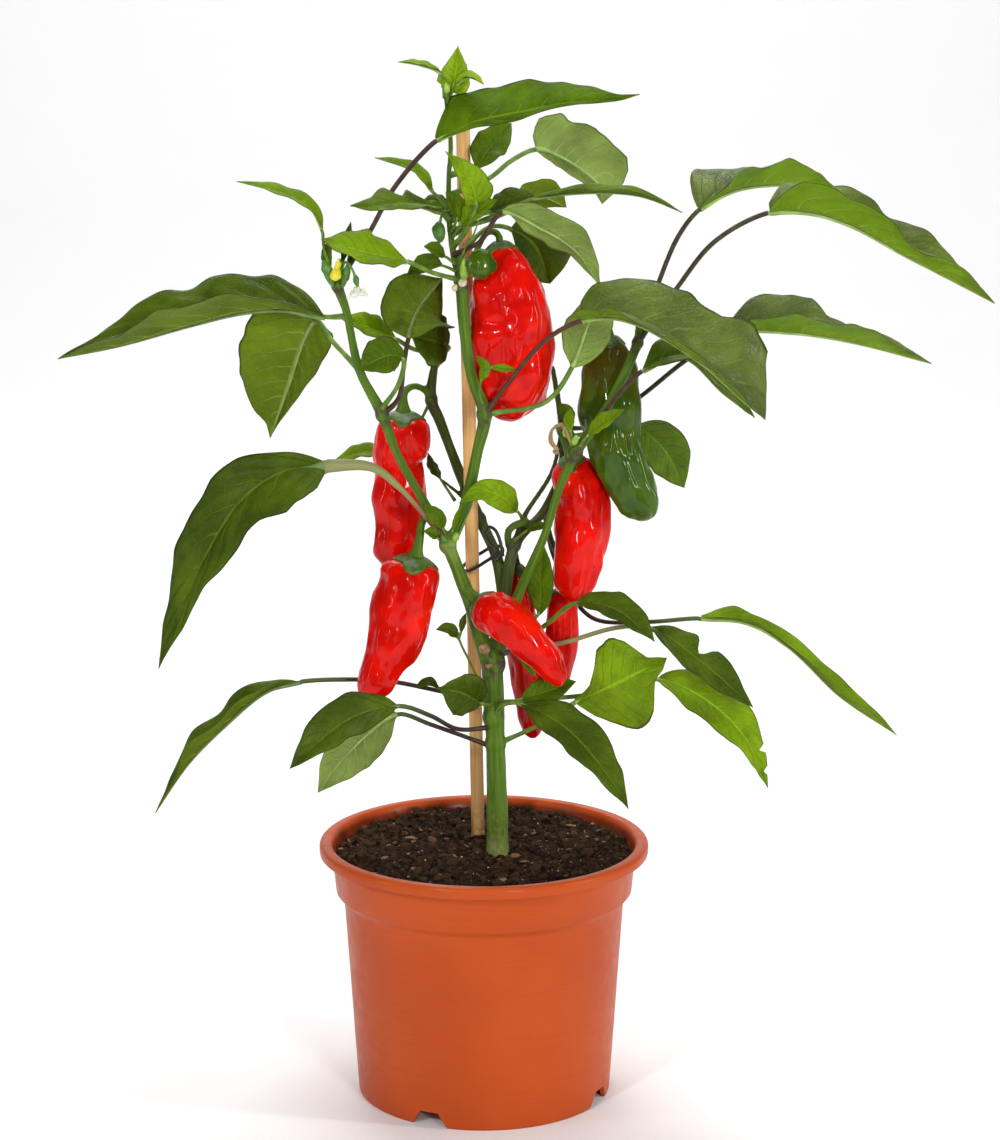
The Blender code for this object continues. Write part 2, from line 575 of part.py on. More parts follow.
def fruit_axis(name):
    """The fruit's middle line as a smooth curve."""
    return smooth_curve(FRUITS[name][0])


def stalk_route(name):
    """The stalk's route and radii: it flares into the calyx, whose flat end faces the fruit."""
    start, direction = along(fruit_axis(name), 0)
    shoulder = FRUITS[name][1][0]
    ends = [start - direction * (GAP + back) for back in (shoulder * CALYX_SLOPE, CALYX_RIM, 0)]
    route = [*FRUITS[name][2], *ends]
    radii = [STALK_RADIUS] * (len(route) - 2) + [shoulder * CALYX_SHARE] * 2
    return route, radii


def make_stem(parts, joined):
    """The whole green stem, grown as one: trunk, arms, branches, fruit stalks and calyxes."""
    trunk = None
    for name, (route, radii) in BRANCHES.items():
        home = parts if name == "trunk" else joined
        made = tube(name, route, radii, home, resolution=3 if max(radii) > 4 else 2)
        trunk = trunk or made
    for name in FRUITS:
        route, radii = stalk_route(name)
        tube("stalk_" + name, route, radii, joined)
    for piece in joined.objects:
        hide(piece)
    trunk.name = "stem"
    trunk.data.materials.append(material("stem", "stem"))
    boolean(trunk, "UNION", joined)


def make_fruit(name, parts):
    """One fruit: lobed rings along its bent middle line, from a flat shoulder to a blunt tip."""
    axis = fruit_axis(name)
    _, radii, _, colour = FRUITS[name]
    marks = lengths(axis)
    knots = marks[::12]
    across = 12
    sections = []
    for share in (0, 0.04, 0.12, 0.25, 0.4, 0.55, 0.7, 0.84, 0.94, 1.0):
        centre, direction = along(axis, share * marks[-1])
        side = unit(np.cross(direction, (0, 1, 0)))
        front = np.cross(side, direction)
        radius = np.interp(share * marks[-1], knots, radii)
        ring = []
        for step in range(across):
            angle = 2 * math.pi * (step + 0.5) / across
            swell = 1 + LOBE_DEPTH * math.cos(FRUIT_LOBES * angle) * (share > 0)
            ring.append(centre + radius * swell * (side * math.cos(angle) + front * math.sin(angle)))
        sections.append(ring[:across // 2] + ring[across // 2:][::-1])
    loft(name, sections, parts, colour)


def stem_samples():
    """Points along every branch and stalk, each with the radius there."""
    samples = []
    routes = list(BRANCHES.values()) + [stalk_route(name) for name in FRUITS]
    for route, radii in routes:
        curve = smooth_curve(route, 24)
        marks = lengths(curve)
        samples += [(*point, np.interp(mark, marks[::24], radii)) for point, mark in zip(curve, marks)]
    return np.array(samples)


def leaf_start(curve, stem):
    """The distance along a leaf's route at which it is clear of the stem."""
    marks = lengths(curve)
    for mark in np.arange(0, marks[-1], 0.1):
        point = along(curve, mark)[0]
        clear = np.linalg.norm(stem[:, :3] - point, axis=1) - stem[:, 3]
        if clear.min() > STEM_CLEARANCE:
            return mark
    return 0


def blade_share(t):
    """Half the blade's width at t, from 0 at the neck to 1 at the tip, as a share of its widest."""
    swell, taper = 0.85, 1.0
    widest = swell / (swell + taper)
    return (t / widest) ** swell * ((1 - t) / (1 - widest)) ** taper


def leaf_section(centre, left, normal, radius, half_width, fold, blend):
    """A six-point ring that turns from a round petiole (blend 0) into a folded blade (blend 1)."""
    petiole = [(-0.87, 0.5), (0, 1), (0.87, 0.5), (-0.87, -0.5), (0, -1), (0.87, -0.5)]
    thick = BLADE_THICKNESS / 2
    rise = half_width * math.sin(fold)
    reach = half_width * math.cos(fold)
    blade = [(-reach, rise + thick), (0, thick), (reach, rise + thick),
             (-reach, rise - thick), (0, -thick), (reach, rise - thick)]
    ring = []
    for (px, pz), (bx, bz) in zip(petiole, blade):
        x = px * radius * (1 - blend) + bx * blend
        z = pz * radius * (1 - blend) + bz * blend
        ring.append(centre - left * x + normal * z)
    return ring


def make_leaf(name, parts, stem):
    """One leaf: a thin petiole that widens into a blade folded along its midrib."""
    route, neck, width, face, tip_face, fold = LEAVES[name]
    root = stem[np.argmin(np.linalg.norm(stem[:, :3] - route[0], axis=1)), :3]
    curve = smooth_curve([root, *route[1:]])
    marks = lengths(curve)
    start, base = leaf_start(curve, stem), marks[neck * 12]
    steps = max(2, math.ceil((base - start) / PETIOLE_STEP))
    stations = [(mark, 0) for mark in np.linspace(start, base, steps, endpoint=False)]
    stations.insert(1, (start + 2.0, 0))
    stations += [(base + t * (marks[-1] - base), t) for t in BLADE_STATIONS[1:]]
    sections = []
    for mark, t in stations:
        centre, direction = along(curve, mark)
        looks = np.array(face) * (1 - t) + np.array(tip_face) * t
        normal = unit(looks - direction * looks.dot(direction))
        left = np.cross(normal, direction)
        half_width = max(width / 2 * blade_share(t), 0.5)
        radius = PETIOLE_RADIUS * (0.5 if mark == start else 1)
        blend = min(1, t / 0.12)
        sections.append(leaf_section(centre, left, normal, radius, half_width,
                                     math.radians(fold), blend))
    loft("leaf_" + name, sections, parts, "leaf")


def main():
    """Build the whole plant in its pot."""
    for old in list(bpy.data.objects):
        bpy.data.objects.remove(old)
    parts, tools, joined = (bpy.data.collections.new(name)
                            for name in ("potted_sweet_pepper_plant", "cutters", "stem_branches"))
    for collection in (parts, tools, joined):
        bpy.context.scene.collection.children.link(collection)
    make_pot(parts, tools)
    make_soil(parts, tools)
    cylinder("stake", STAKE_FOOT, STAKE_TOP, STAKE_RADIUS, parts, colour="wood")
    make_stem(parts, joined)
    tube("wire_tie", TIE_ROUTE, [TIE_RADIUS] * len(TIE_ROUTE), parts, resolution=1, step=4.0,
         colour="wire")
    for name in FRUITS:
        make_fruit(name, parts)
    stem = stem_samples()
    for name in LEAVES:
        make_leaf(name, parts, stem)


main()
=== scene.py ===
"""Potted sweet pepper plant: the finished surfaces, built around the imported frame.

The plant's points and sizes are in millimetres, in the frame's own axes: +Z up, -Y to the front.
"""

import math

import bmesh
import bpy
import numpy as np
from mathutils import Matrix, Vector
from mathutils.kdtree import KDTree


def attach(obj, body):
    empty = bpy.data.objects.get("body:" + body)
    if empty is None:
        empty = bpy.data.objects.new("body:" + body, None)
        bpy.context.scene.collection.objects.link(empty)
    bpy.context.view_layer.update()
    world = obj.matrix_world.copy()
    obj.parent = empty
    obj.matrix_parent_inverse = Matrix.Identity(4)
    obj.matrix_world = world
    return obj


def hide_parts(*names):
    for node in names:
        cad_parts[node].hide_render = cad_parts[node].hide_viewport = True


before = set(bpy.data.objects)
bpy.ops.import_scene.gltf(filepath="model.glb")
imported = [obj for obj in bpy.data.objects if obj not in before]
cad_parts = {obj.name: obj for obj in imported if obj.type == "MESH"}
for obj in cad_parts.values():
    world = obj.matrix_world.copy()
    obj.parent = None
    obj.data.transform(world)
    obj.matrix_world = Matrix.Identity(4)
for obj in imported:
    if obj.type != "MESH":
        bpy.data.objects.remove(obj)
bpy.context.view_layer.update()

MM = 0.001

# ---------------------------------------------------------------- the plant's own measures

LEFT_NODE = (-18, -12, 292)
OUTER_LEFT_NODE = (-50, -24, 360)
OUTER_LEFT_TOP = (-71, -33, 425)
INNER_NODE = (0.6, -17, 359)
CROWN_NODE = (-11, -10, 425)
CROWN_TOP = (-19, 0, 515)
BACK_NODE = (-27, 36, 358)
BACK_TOP = (-24, 34, 384)
REAR_NODE = (16, 12, 287)
REAR_UPPER = (40, 30, 344)
RIGHT_NODE = (46, -8, 338)
OUTER_RIGHT_NODE = (77, -4, 393)

# Each branch: its route and its radius at each point of the route.
BRANCHES = {
    "trunk": ([(7, -2, 118), (7, -2, 129), (7, -2, 140), (6, -2, 185), (5, -2, 209), (4, -2, 232)],
        [6.4, 6.3, 5.5, 5.3, 5.3, 5.4]),
    "left_arm": ([(4, -2, 223), (-1, -2, 240), (-6, -3, 258), (-13, -8, 278), LEFT_NODE], [4.6, 4.4,
        3.9, 3.5, 3.8]),
    "left_outer_branch": ([LEFT_NODE, (-28, -15, 311), (-43, -21, 340), OUTER_LEFT_NODE,
        (-61, -28, 383), (-67, -32, 413), OUTER_LEFT_TOP, (-72, -34, 430)], [3.2, 2.4, 2.2, 2.9,
        2.2, 2.1, 2.7, 1.2]),
    "left_inner_branch": ([LEFT_NODE, (-13, -13, 301), (-8, -15, 317), (-3, -16.5, 340), INNER_NODE,
        (-5.4, -18, 377), (-8.2, -17, 393), CROWN_NODE], [3.4, 3.0, 2.9, 2.9, 3.6, 2.8, 2.8, 3.2]),
    "leader": ([CROWN_NODE, (-14, -8, 434), (-17, -5, 457), (-17, -4, 474), (-16, -2, 493),
        CROWN_TOP], [2.4, 1.8, 1.6, 1.5, 1.3, 0.8]),
    "back_arm": ([(5, 1, 234), (10, 6, 254), (7, 16, 278), (-2, 28, 297), (-12, 34, 319),
        (-23, 36, 348), BACK_NODE, BACK_TOP], [3.8, 3.4, 3.2, 3.0, 2.8, 2.7, 3.2, 1.6]),
    "back_twig": ([(-2, 28, 297), (-11, 31, 308), (-22, 33, 317)], [1.6, 1.2, 0.9]),
    "right_arm": ([(6, 0, 228), (11, 2, 245), (18, 2, 264), (31, -2, 295), (38, -6, 319),
        RIGHT_NODE], [3.8, 3.1, 2.7, 2.3, 2.2, 2.7]),
    "right_outer_branch": ([RIGHT_NODE, (63, -8, 363), OUTER_RIGHT_NODE, (81, -2, 408)], [2.8, 2.4,
        2.6, 1.4]),
    "rear_branch": ([(10, 6, 255), REAR_NODE, (31, 26, 302), (40, 32, 322), REAR_UPPER,
        (35, 28, 377)], [3.0, 2.8, 2.4, 2.2, 2.2, 1.2]),
    "middle_twig": ([REAR_NODE, (20, 14, 300), (35, 23, 323), REAR_UPPER], [1.8, 1.5, 1.3, 1.2]),
}

# The swellings where branches part: a point and a radius.
NODES = [
    ((5, -2, 228), 6.4), (LEFT_NODE, 4.7), (OUTER_LEFT_NODE, 3.7), (OUTER_LEFT_TOP, 3.3),
    (INNER_NODE, 4.3), (CROWN_NODE, 4.0), (BACK_NODE, 3.6), (REAR_NODE, 3.5), (RIGHT_NODE, 4.2),
    (OUTER_RIGHT_NODE, 3.2), ((-2, 28, 297), 3.6), (REAR_UPPER, 2.8), ((-17, -5, 457), 2.1),
    ((5, -3, 200), 5.9), ((6, -2, 186), 5.8),
]

# How much painted shade darkens the branches and stalks at the back, from 0 to 1.
REAR_PAINTED_SHADE = {
    "back_arm": 0.6, "rear_branch": 0.75, "middle_twig": 0.8, "back_twig": 0.5,
    "stalk_pepper_rear": 0.35, "stalk_pepper_rear_right": 0.7,
}

# Each fruit: the points of its middle line, its radius at each, the stalk's points, its colour,
# lobes, the turn of its lobes, how deep they are, and its dents: where along it, at what angle, how
# long, how wide and how deep in millimetres.
FRUITS = {
    "pepper_top": ([(8.3, 3, 441.1), (9.3, 3, 432.6), (10.8, 2, 421.2), (13.5, 1, 403.8),
        (14.3, 0, 388.8), (14.0, -1, 374.3), (13.2, -2, 364.8), (12.6, -2, 361.0)], [8.5, 13.5,
        18.6, 21.6, 21.8, 20.5, 17.6, 14.6], [CROWN_NODE, (-4, 3, 437), (2, 7, 447)], "red", 4,
        0.84, 0.075, [(0.66, -1.95, 0.20, 0.28, 3.2), (0.72, -1.25, 0.20, 0.22, 1.7), (0.42, -2.1,
        0.04, 0.45, 1.8), (0.30, -1.2, 0.05, 0.25, 1.3), (0.18, -0.9, 0.05, 0.2, 1.1), (0.22, -1.5,
        0.04, 0.15, 1.0), (0.50, -0.72, 0.30, 0.12, 1.3)]),
    "pepper_left": ([(-41.2, 24, 352.6), (-41.3, 24, 347.4), (-41.3, 24, 339.1), (-43.4, 24, 328.8),
        (-43.5, 23, 315.9), (-43.0, 22, 300.5), (-45.1, 20, 287.8), (-47.7, 19, 279.1),
        (-48.6, 19, 275.9)], [10.1, 13.1, 14.4, 13.5, 13.7, 14.0, 12.2, 8.4, 5.4], [BACK_NODE,
        (-30, 35, 363), (-36, 30, 366)], "red", 3, 0.5, 0.05, [(0.30, -0.5, 0.06, 0.5, 2.4), (0.34,
        -2.6, 0.06, 0.4, 0.7), (0.55, -1.5, 0.25, 0.2, 1.0), (0.7, -2.3, 0.15, 0.25, 0.9)]),
    "pepper_lower_left": ([(-34.3, -12, 284.4), (-36.0, -12.5, 276.3), (-40.1, -13.5, 263.6),
        (-42.2, -15, 249.5), (-48.3, -17, 234.4), (-55.6, -19, 221.9), (-58.9, -20, 216.0)], [12.6,
        15.2, 16.3, 15.0, 12.5, 9.4, 6.4], [LEFT_NODE, (-24, -9, 303), (-30, -10, 305)], "red", 3,
        1.2, 0.045, [(0.20, -2.9, 0.06, 0.5, 2.2), (0.36, -0.6, 0.06, 0.4, 1.2), (0.45, -1.9, 0.12,
        0.25, 1.0), (0.62, -1.0, 0.1, 0.3, 0.9), (0.75, -1.6, 0.06, 0.25, 0.8)]),
    "pepper_front": ([(-2.3, -9, 262.6), (2.7, -12, 258.6), (9.8, -16, 254.9), (18.4, -20, 249.1),
        (25.9, -23, 242.0), (32.9, -25, 233.7), (37.0, -26.5, 227.0), (38.0, -27, 224.5)], [6.9,
        10.9, 11.8, 10.8, 9.3, 7.8, 5.6, 4.2], [(-6, -3, 260)], "red", 3, 0.8, 0.03, [(0.62, 0.2,
        0.07, 0.5, 1.3), (0.85, -0.4, 0.04, 0.35, 1.1), (0.8, -1.5, 0.05, 0.3, 0.7)]),
    "pepper_right": ([(44.4, 15, 330.3), (45.5, 16, 326.2), (48.1, 16, 316.4), (49.9, 16, 306.0),
        (49.2, 15, 291.6), (47.4, 13, 276.3), (47.2, 11, 265.3), (47.6, 10, 260.3)], [7.5, 10.2,
        13.2, 15.0, 14.6, 13.0, 10.5, 7.4], [RIGHT_NODE, (43, 0, 349), (38, 9, 348)], "red", 3, 1.9,
        0.06, [(0.55, -1.2, 0.3, 0.18, 1.6), (0.4, -2.0, 0.2, 0.2, 0.9), (0.8, -0.8, 0.1, 0.25,
        0.9)]),
    "pepper_green": ([(62.9, 16, 392.7), (62.9, 16, 387.6), (63.5, 16, 378.3), (64.2, 15, 360.7),
        (66.3, 12, 340.3), (71.5, 9, 325.2), (76.6, 8, 315.1), (80.9, 7, 308.4), (83.0, 7, 305.0)],
        [7.0, 10.6, 14.2, 16.0, 14.6, 12.6, 11.4, 10.2, 7.8], [OUTER_RIGHT_NODE, (77, 4, 405),
        (71, 12, 407)], "green", 3, 2.6, 0.05, [(0.62, -1.15, 0.42, 0.20, 2.2), (0.3, -2.2, 0.2,
        0.3, 1.0), (0.75, -1.9, 0.1, 0.3, 0.8)]),
    "pepper_rear_right": ([(40.4, 26, 261.3), (40.4, 26, 254.9), (39.9, 26, 241.6),
        (39.4, 25, 225.9), (37.9, 24, 212.8), (37.0, 24, 208.4)], [4.5, 7.6, 8.8, 8.6, 6.1, 4.2],
        [(31, 26, 302), (36, 33, 282), (41, 30, 273)], "red", 3, 0.0, 0.05, [(0.5, -1.3, 0.3, 0.2,
        0.9)]),
    "pepper_rear": ([(16.5, 21, 274.1), (17.1, 22, 266.4), (19.2, 23, 242.3), (22.8, 23, 213.0),
        (25.0, 22, 191.8), (25.4, 22, 184.2)], [4.0, 7.6, 9.1, 8.6, 6.6, 4.0], [(25, 20, 295),
        (20, 10, 299), (13, 6, 296), (13, 12, 286)], "red", 3, 1.1, 0.05, [(0.5, -1.5, 0.3, 0.2,
        0.9)]),
    "pepper_young": ([(-7.5, -16, 434.2), (-5.5, -17, 433.8), (-2.0, -18, 433.4), (1.9, -18, 432.9),
        (4.3, -18, 432.5)], [3.4, 5.9, 7.7, 7.2, 5.0], [CROWN_NODE], "green", 4, 0.3, 0.06, []),
}

# The radius at which some stalks meet their fruit.
FLARES = {"pepper_rear": 3.4, "pepper_rear_right": 2.2, "pepper_young": 2.2, "pepper_top": 2.8}

# Each leaf: its tone, its petiole's skin, the number of the route point where the blade starts, the
# blade's full width, the way its upper side looks at the base and at the tip, its fold in degrees
# and the route from the stem to the tip. Some have a style of their own as well:
#   swell, taper: how fast the blade widens from its neck and narrows to its tip
#   outline: for each side of the midrib, places along it and the share of half the width there
#   cuts: notches in the edge, each with its side, its place along the blade, its length and depth
#   quilt, drift: how far the blade bulges between its veins and wanders, in millimetres
#   ruffle: how far the edge waves up and down, as a share of half the width
#   wing: how much wider the petiole is at the blade
LEAVES = {
    "crown_upright": ("young", "green", 1, 17, (-0.1, -1, 0.2), (-0.1, -1, 0.2), 16,
        [CROWN_TOP, (-16, 0, 517), (-13.5, 0, 526), (-12.3, 1, 539.3)],
        {"swell": 0.3, "taper": 1.2}),
    "crown_left": ("fresh", "green", 1, 8, (0, -0.25, 1), (0, -0.3, 1), 20,
        [(-17.5, -2, 514), (-20.6, -6, 526.2), (-30.8, -8, 530.2), (-41.5, -9, 531.8)]),
    "top_long": ("deep", "purple", 3, 44, (-0.2, -0.75, 1), (0, -0.62, 1), 10,
        [OUTER_LEFT_TOP, (-55, -23, 451), (-43, -18, 472), (-22.4, -19, 494.6), (-10, -18, 500.6),
        (-1, -18, 504.2), (23.6, -17, 509), (43.4, -17, 512.7), (64.6, -18, 514.2),
        (76.2, -18, 517)],
        {"outline": (((0, 0.03, 0.08, 0.15, 0.3, 0.5, 0.65, 0.8, 0.92, 1), (0.1, 0.3, 0.6, 0.86,
         0.96, 0.88, 0.68, 0.4, 0.12, 0)), ((0, 0.1, 0.3, 0.6, 0.85, 1), (0.06, 0.2, 0.26, 0.22,
         0.1, 0))), "quilt": 0.7, "ruffle": 0.05}),
    "young_left": ("fresh", "green", 1, 9, (0.2, -0.5, 1), (0, -0.4, 1), 25,
        [(-17, -5, 461), (-25, -2, 468), (-33, 4, 477), (-54, 9, 484)]),
    "young_front": ("fresh", "green", 2, 19, (0.5, -1, 0.4), (0.1, -1, 0.8), 20,
        [(-15, -7, 441), (-8, -20, 451), (-3.5, -24, 464), (-6.8, -28, 476), (-17.9, -30, 490)],
        {"swell": 0.36, "taper": 1.25}),
    "small_upper_back": ("mid", "green", 1, 18, (-0.3, -1, 0.1), (-0.3, -1, 0.1), 15,
        [(-17, -4, 476), (-4, 7, 479), (2, 14, 487), (14, 24, 500)]),
    "upper_right_curled": ("sage", "green", 3, 46, (-0.35, 0.75, -0.25), (-0.2, 0.9, 0.1), 8,
        [(-17, -4, 466), (3, 6, 474), (14, 14, 482), (26.5, 22, 487), (38.5, 30, 482.5),
        (50, 36, 475), (58.5, 40, 467), (60.2, 42, 458)],
        {"outline": (((0, 0.1, 0.3, 0.6, 0.85, 1), (0.05, 0.14, 0.2, 0.2, 0.14, 0)), ((0, 0.08, 0.2,
         0.35, 0.5, 0.65, 0.8, 0.92, 1), (0.3, 0.8, 0.95, 0.9, 1, 0.95, 0.9, 0.4, 0))), "quilt":
         1.8, "drift": 1.6}),
    "upper_right_slim": ("mid", "green", 3, 12.5, (0, -0.2, 1), (0, -0.2, 1), 30,
        [(-16, -6, 446), (-5, -10, 453), (8, -17, 459), (25, -18, 466), (52, -18, 469),
        (77, -16, 467), (98, -15, 459)]),
    "pale_round": ("fresh", "green", 3, 24, (0, 0.8, 0.6), (0, 0.8, 0.8), 10,
        [(-16, -6, 449), (-7, 2, 451), (3, 10, 453), (14, 18, 457), (28, 28, 463), (42, 36, 457)]),
    "small_dark": ("dark", "green", 2, 18, (0, -0.7, 0.8), (0, -0.7, 0.8), 20,
        [(-17, -5, 454), (-6, -4, 456), (3, -2, 458), (18, 3, 462), (29, 6, 459)]),
    "over_pepper": ("sage", "purple", 3, 25, (0.1, 0.75, 0.6), (0.7, 0.6, 0.4), 12,
        [(-14, -8, 437), (-9, -18, 441), (-1, -25, 446), (10, -31, 461), (28, -37, 454),
        (45, -37, 443), (58, -34, 424)],
        {"taper": 1.2}),
    "upper_left_lobed": ("mid", "green", 1, 24, (0, -0.5, 1), (0, -0.5, 1), 15,
        [(-17, -6, 454), (-21, -12, 459), (-38, -32, 465), (-53, -41, 464), (-64, -43, 465)],
        {"cuts": ((1, 0.45, 0.08, 0.5), (-1, 0.6, 0.07, 0.5))}),
    "young_far_left": ("fresh", "green", 2, 11.5, (0.6, -0.5, 0.8), (0, -0.35, 1), 22,
        [OUTER_LEFT_TOP, (-77, -37, 443), (-78, -38, 453), (-83, -38, 463), (-96, -37, 470),
        (-119, -36, 476)]),
    "young_left_low": ("fresh", "green", 2, 26, (0, -0.6, 1), (0, -0.6, 1), 15,
        [CROWN_NODE, (-26, -26, 431), (-37, -34, 437), (-57, -42, 442), (-78, -44, 449)]),
    "left_arching": ("dark", "green", 1, 50, (0, -0.24, 1), (0, -0.30, 1), 38,
        [(-68, -32, 409), (-78, -27, 409), (-97, -20, 412), (-120, -9, 409), (-147, 3, 401),
        (-184, 16, 389), (-217, 26, 381)],
        {"ruffle": 0.06}),
    "left_hanging": ("mid", "green", 2, 60, (0.1, 0.85, 0.5), (-0.2, 0.9, 0.2), 10,
        [(-65, -28, 382), (-74, -18, 395), (-83.3, -6, 404.5), (-89, 0, 396), (-98.5, 9, 369),
        (-109, 20, 341)],
        {"outline": (((0, 0.07, 0.17, 0.35, 0.52, 0.7, 0.82, 0.9, 1), (0.3, 0.75, 0.95, 1, 0.92,
         0.7, 0.42, 0.14, 0)), ((0, 0.08, 0.2, 0.38, 0.56, 0.74, 1), (0.15, 0.42, 0.5, 0.42, 0.3,
         0.16, 0)))}),
    "left_inner_bright": ("fresh", "green", 2, 16, (0, -0.7, 0.7), (0, -0.7, 0.7), 15,
        [BACK_TOP, (-35, 29, 385), (-45, 26, 391), (-57, 20, 397), (-72, 14, 403)]),
    "left_inner_upright": ("dark", "purple", 3, 40, (0.3, 0.9, 0.4), (0.3, 0.9, 0.4), 12,
        [OUTER_LEFT_NODE, (-42, -26, 368), (-39, -23, 386), (-37, -18, 397), (-32, -5, 410),
        (-21, 14, 423)]),
    "left_inner_small": ("mid", "green", 2, 20, (0, -0.9, 0.5), (0, -0.9, 0.5), 12,
        [(-49, -25, 362), (-41, -36, 378), (-39, -40, 390), (-46, -43, 392), (-60, -48, 386)]),
    "left_inner_dark": ("dark", "green", 2, 28, (0.2, -0.95, 0.3), (0.2, -0.95, 0.3), 12,
        [BACK_TOP, (-19, 27, 385), (-18, 19, 388), (-26, 11, 392), (-36, 6, 395)]),
    "left_broad": ("dark", "blushed", 3, 43, (-0.3, -0.75, 0.6), (-0.8, -0.6, 0.2), 14,
        [LEFT_NODE, (-41, -31, 324), (-55, -38, 336), (-78, -41, 337), (-97, -42, 335),
        (-117, -43, 322), (-136, -45, 294), (-161, -50, 237)],
        {"wing": 2.9, "outline": (((0, 0.03, 0.08, 0.19, 0.26, 0.32, 0.5, 0.7, 0.9, 1), (0.25, 0.75,
         1.02, 1.2, 1.14, 0.94, 0.9, 0.62, 0.2, 0)), ((0, 0.05, 0.15, 0.25, 0.35, 0.6, 0.85, 1),
         (0.12, 0.26, 0.52, 0.78, 0.9, 0.82, 0.36, 0)))}),
    "left_back_small": ("fresh", "green", 2, 12, (0, -0.6, 1), (0, -0.6, 1), 15,
        [BACK_NODE, (-38, 51, 337), (-50, 57, 327), (-63, 58, 327), (-78, 58, 323)]),
    "low_left_slim": ("dark", "mixed", 4, 20, (0, 0, 1), (-0.9, -0.05, 0.5), 38,
        [(2, -5, 207), (-22, 3, 212), (-48, 4, 217), (-69, 0, 219), (-94, -5, 219),
        (-110, -10, 216), (-131, -19, 200), (-150, -26, 181), (-166, -34, 158)],
        {"ruffle": 0.15}),
    "low_left_dark": ("dark", "mixed", 3, 26, (-0.1, -0.8, 0.6), (-0.5, -0.7, 0.5), 15,
        [(5, -2, 195), (-13, -16, 197), (-27, -27, 207), (-43, -39, 215), (-66, -48, 211),
        (-96, -58, 188)]),
    "low_left_pale": ("sage", "mixed", 2, 26, (0.2, 0.9, 0.1), (0.2, 0.9, 0.1), 10,
        [(1, -7, 183), (-27, -7, 197), (-44, -5, 202), (-59, -2, 191), (-76, 3, 172),
        (-86, 7, 157)]),
    "stake_dark": ("dark", "green", 1, 24, (0, -1, 0.1), (0, -1, 0.1), 8,
        [(2, -7, 206), (-1, -14, 210), (-11, -24, 218), (-22, -34, 223)]),
    "centre_bright": ("fresh", "green", 1, 15, (0.2, -1, 0.3), (0.1, -1, 0.2), 15,
        [(20, 14, 300), (17, 4, 306), (8, -12, 317), (-2, -22, 321), (-12, -28, 316)]),
    "right_pale_veined": ("sage", "green", 2, 25, (0.3, 0.9, 0.2), (0.3, 0.9, 0.2), 10,
        [INNER_NODE, (31, -22, 366), (44, -20, 383), (52, -12, 402), (60, 0, 420)]),
    "right_broad": ("arched", "red", 2, 66, (0, -0.38, 1), (0.6, -0.5, 0.7), 34,
        [INNER_NODE, (30, -42, 399), (48, -51.5, 410.5), (60, -56, 413), (75, -61, 410),
        (105, -67, 392), (124, -70, 375), (136, -70, 365)],
        {"ruffle": 0.04, "outline": (((0, 0.06, 0.2, 0.4, 0.5, 0.56, 0.68, 0.8, 0.92, 1), (0.3,
         0.58, 0.7, 0.78, 0.74, 0.76, 0.98, 0.92, 0.45, 0)), ((0, 0.06, 0.2, 0.45, 0.7, 0.9, 1),
         (0.3, 0.66, 0.88, 0.9, 0.78, 0.4, 0)))}),
    "right_under": ("mid", "purple", 2, 34, (0, -0.3, 1), (0.5, -0.4, 0.8), 20,
        [RIGHT_NODE, (63, -15, 363), (79, -18, 381), (99, -17, 388), (120, -13, 369),
        (136, -8, 356)]),
    "far_right_upper": ("arched", "olive", 3, 46, (-0.4, -0.25, 0.8), (0.4, 0.3, 1), 34,
        [OUTER_RIGHT_NODE, (86, 7, 417), (98, 18, 444), (109, 24, 457), (127, 33, 466),
        (153, 41, 468), (181, 48, 465)],
        {"outline": (((0, 0.04, 0.1, 0.2, 0.3, 0.38, 0.5, 0.75, 1), (0.1, 0.4, 0.74, 1.08, 1.0,
         0.62, 0.5, 0.4, 0)), ((0, 0.1, 0.2, 0.3, 0.42, 0.56, 0.75, 1), (0.08, 0.34, 0.74, 1.0,
         0.98, 0.82, 0.7, 0)))}),
    "far_right_long": ("arched", "olive", 3, 56, (0, -0.05, 1), (0.5, -0.25, 0.9), 40,
        [OUTER_RIGHT_NODE, (95, -11, 420), (114, -17, 445), (140.5, -21, 459.6), (160, -25, 460.2),
        (180, -27, 454), (206.5, -27, 439.4), (235, -28, 424.5), (251, -28, 416)],
        {"ruffle": 0.05, "outline": (((0, 0.05, 0.12, 0.2, 0.3, 0.4, 0.5, 0.62, 0.75, 0.9, 1), (0.2,
         0.62, 0.72, 0.6, 0.68, 0.72, 0.68, 0.58, 0.43, 0.22, 0)), ((0, 0.06, 0.14, 0.24, 0.35,
         0.45, 0.6, 0.75, 0.9, 1), (0.06, 0.45, 0.86, 0.98, 0.78, 0.62, 0.58, 0.53, 0.34, 0)))}),
    "right_arching": ("arched", "olive", 4, 46, (0, -0.22, 1), (0.2, -0.18, 1), 38,
        [REAR_UPPER, (60, 42, 344), (82, 41, 360), (103, 31, 379), (126, 22, 395), (155, 16, 396),
        (185, 9, 392), (225, 2, 382)],
        {"ruffle": 0.05, "outline": (((0, 0.08, 0.2, 0.36, 0.45, 0.62, 0.82, 1), (0.3, 0.8, 1, 0.88,
         0.52, 0.48, 0.32, 0)), ((0, 0.1, 0.3, 0.6, 0.8, 1), (0.12, 0.5, 0.88, 1, 0.66, 0)))}),
    "right_back_pale": ("sage", "green", 2, 26, (0.1, -0.9, 0.3), (0.3, -0.9, 0.2), 10,
        [(40, 31, 339), (63, 49, 340), (79, 53, 341), (93, 55, 330), (105, 58, 308)]),
    "low_right_dark": ("dark", "green", 3, 20, (0.1, -0.6, 0.9), (0.5, -0.6, 0.6), 18,
        [(13, 2, 250), (24, 2, 243), (33, -1, 249), (47, -8, 261), (67, -16, 259), (86, -26, 245)]),
    "low_right_bright": ("fresh", "green", 2, 54, (0, -1, 0.1), (0, -1, 0.1), 6,
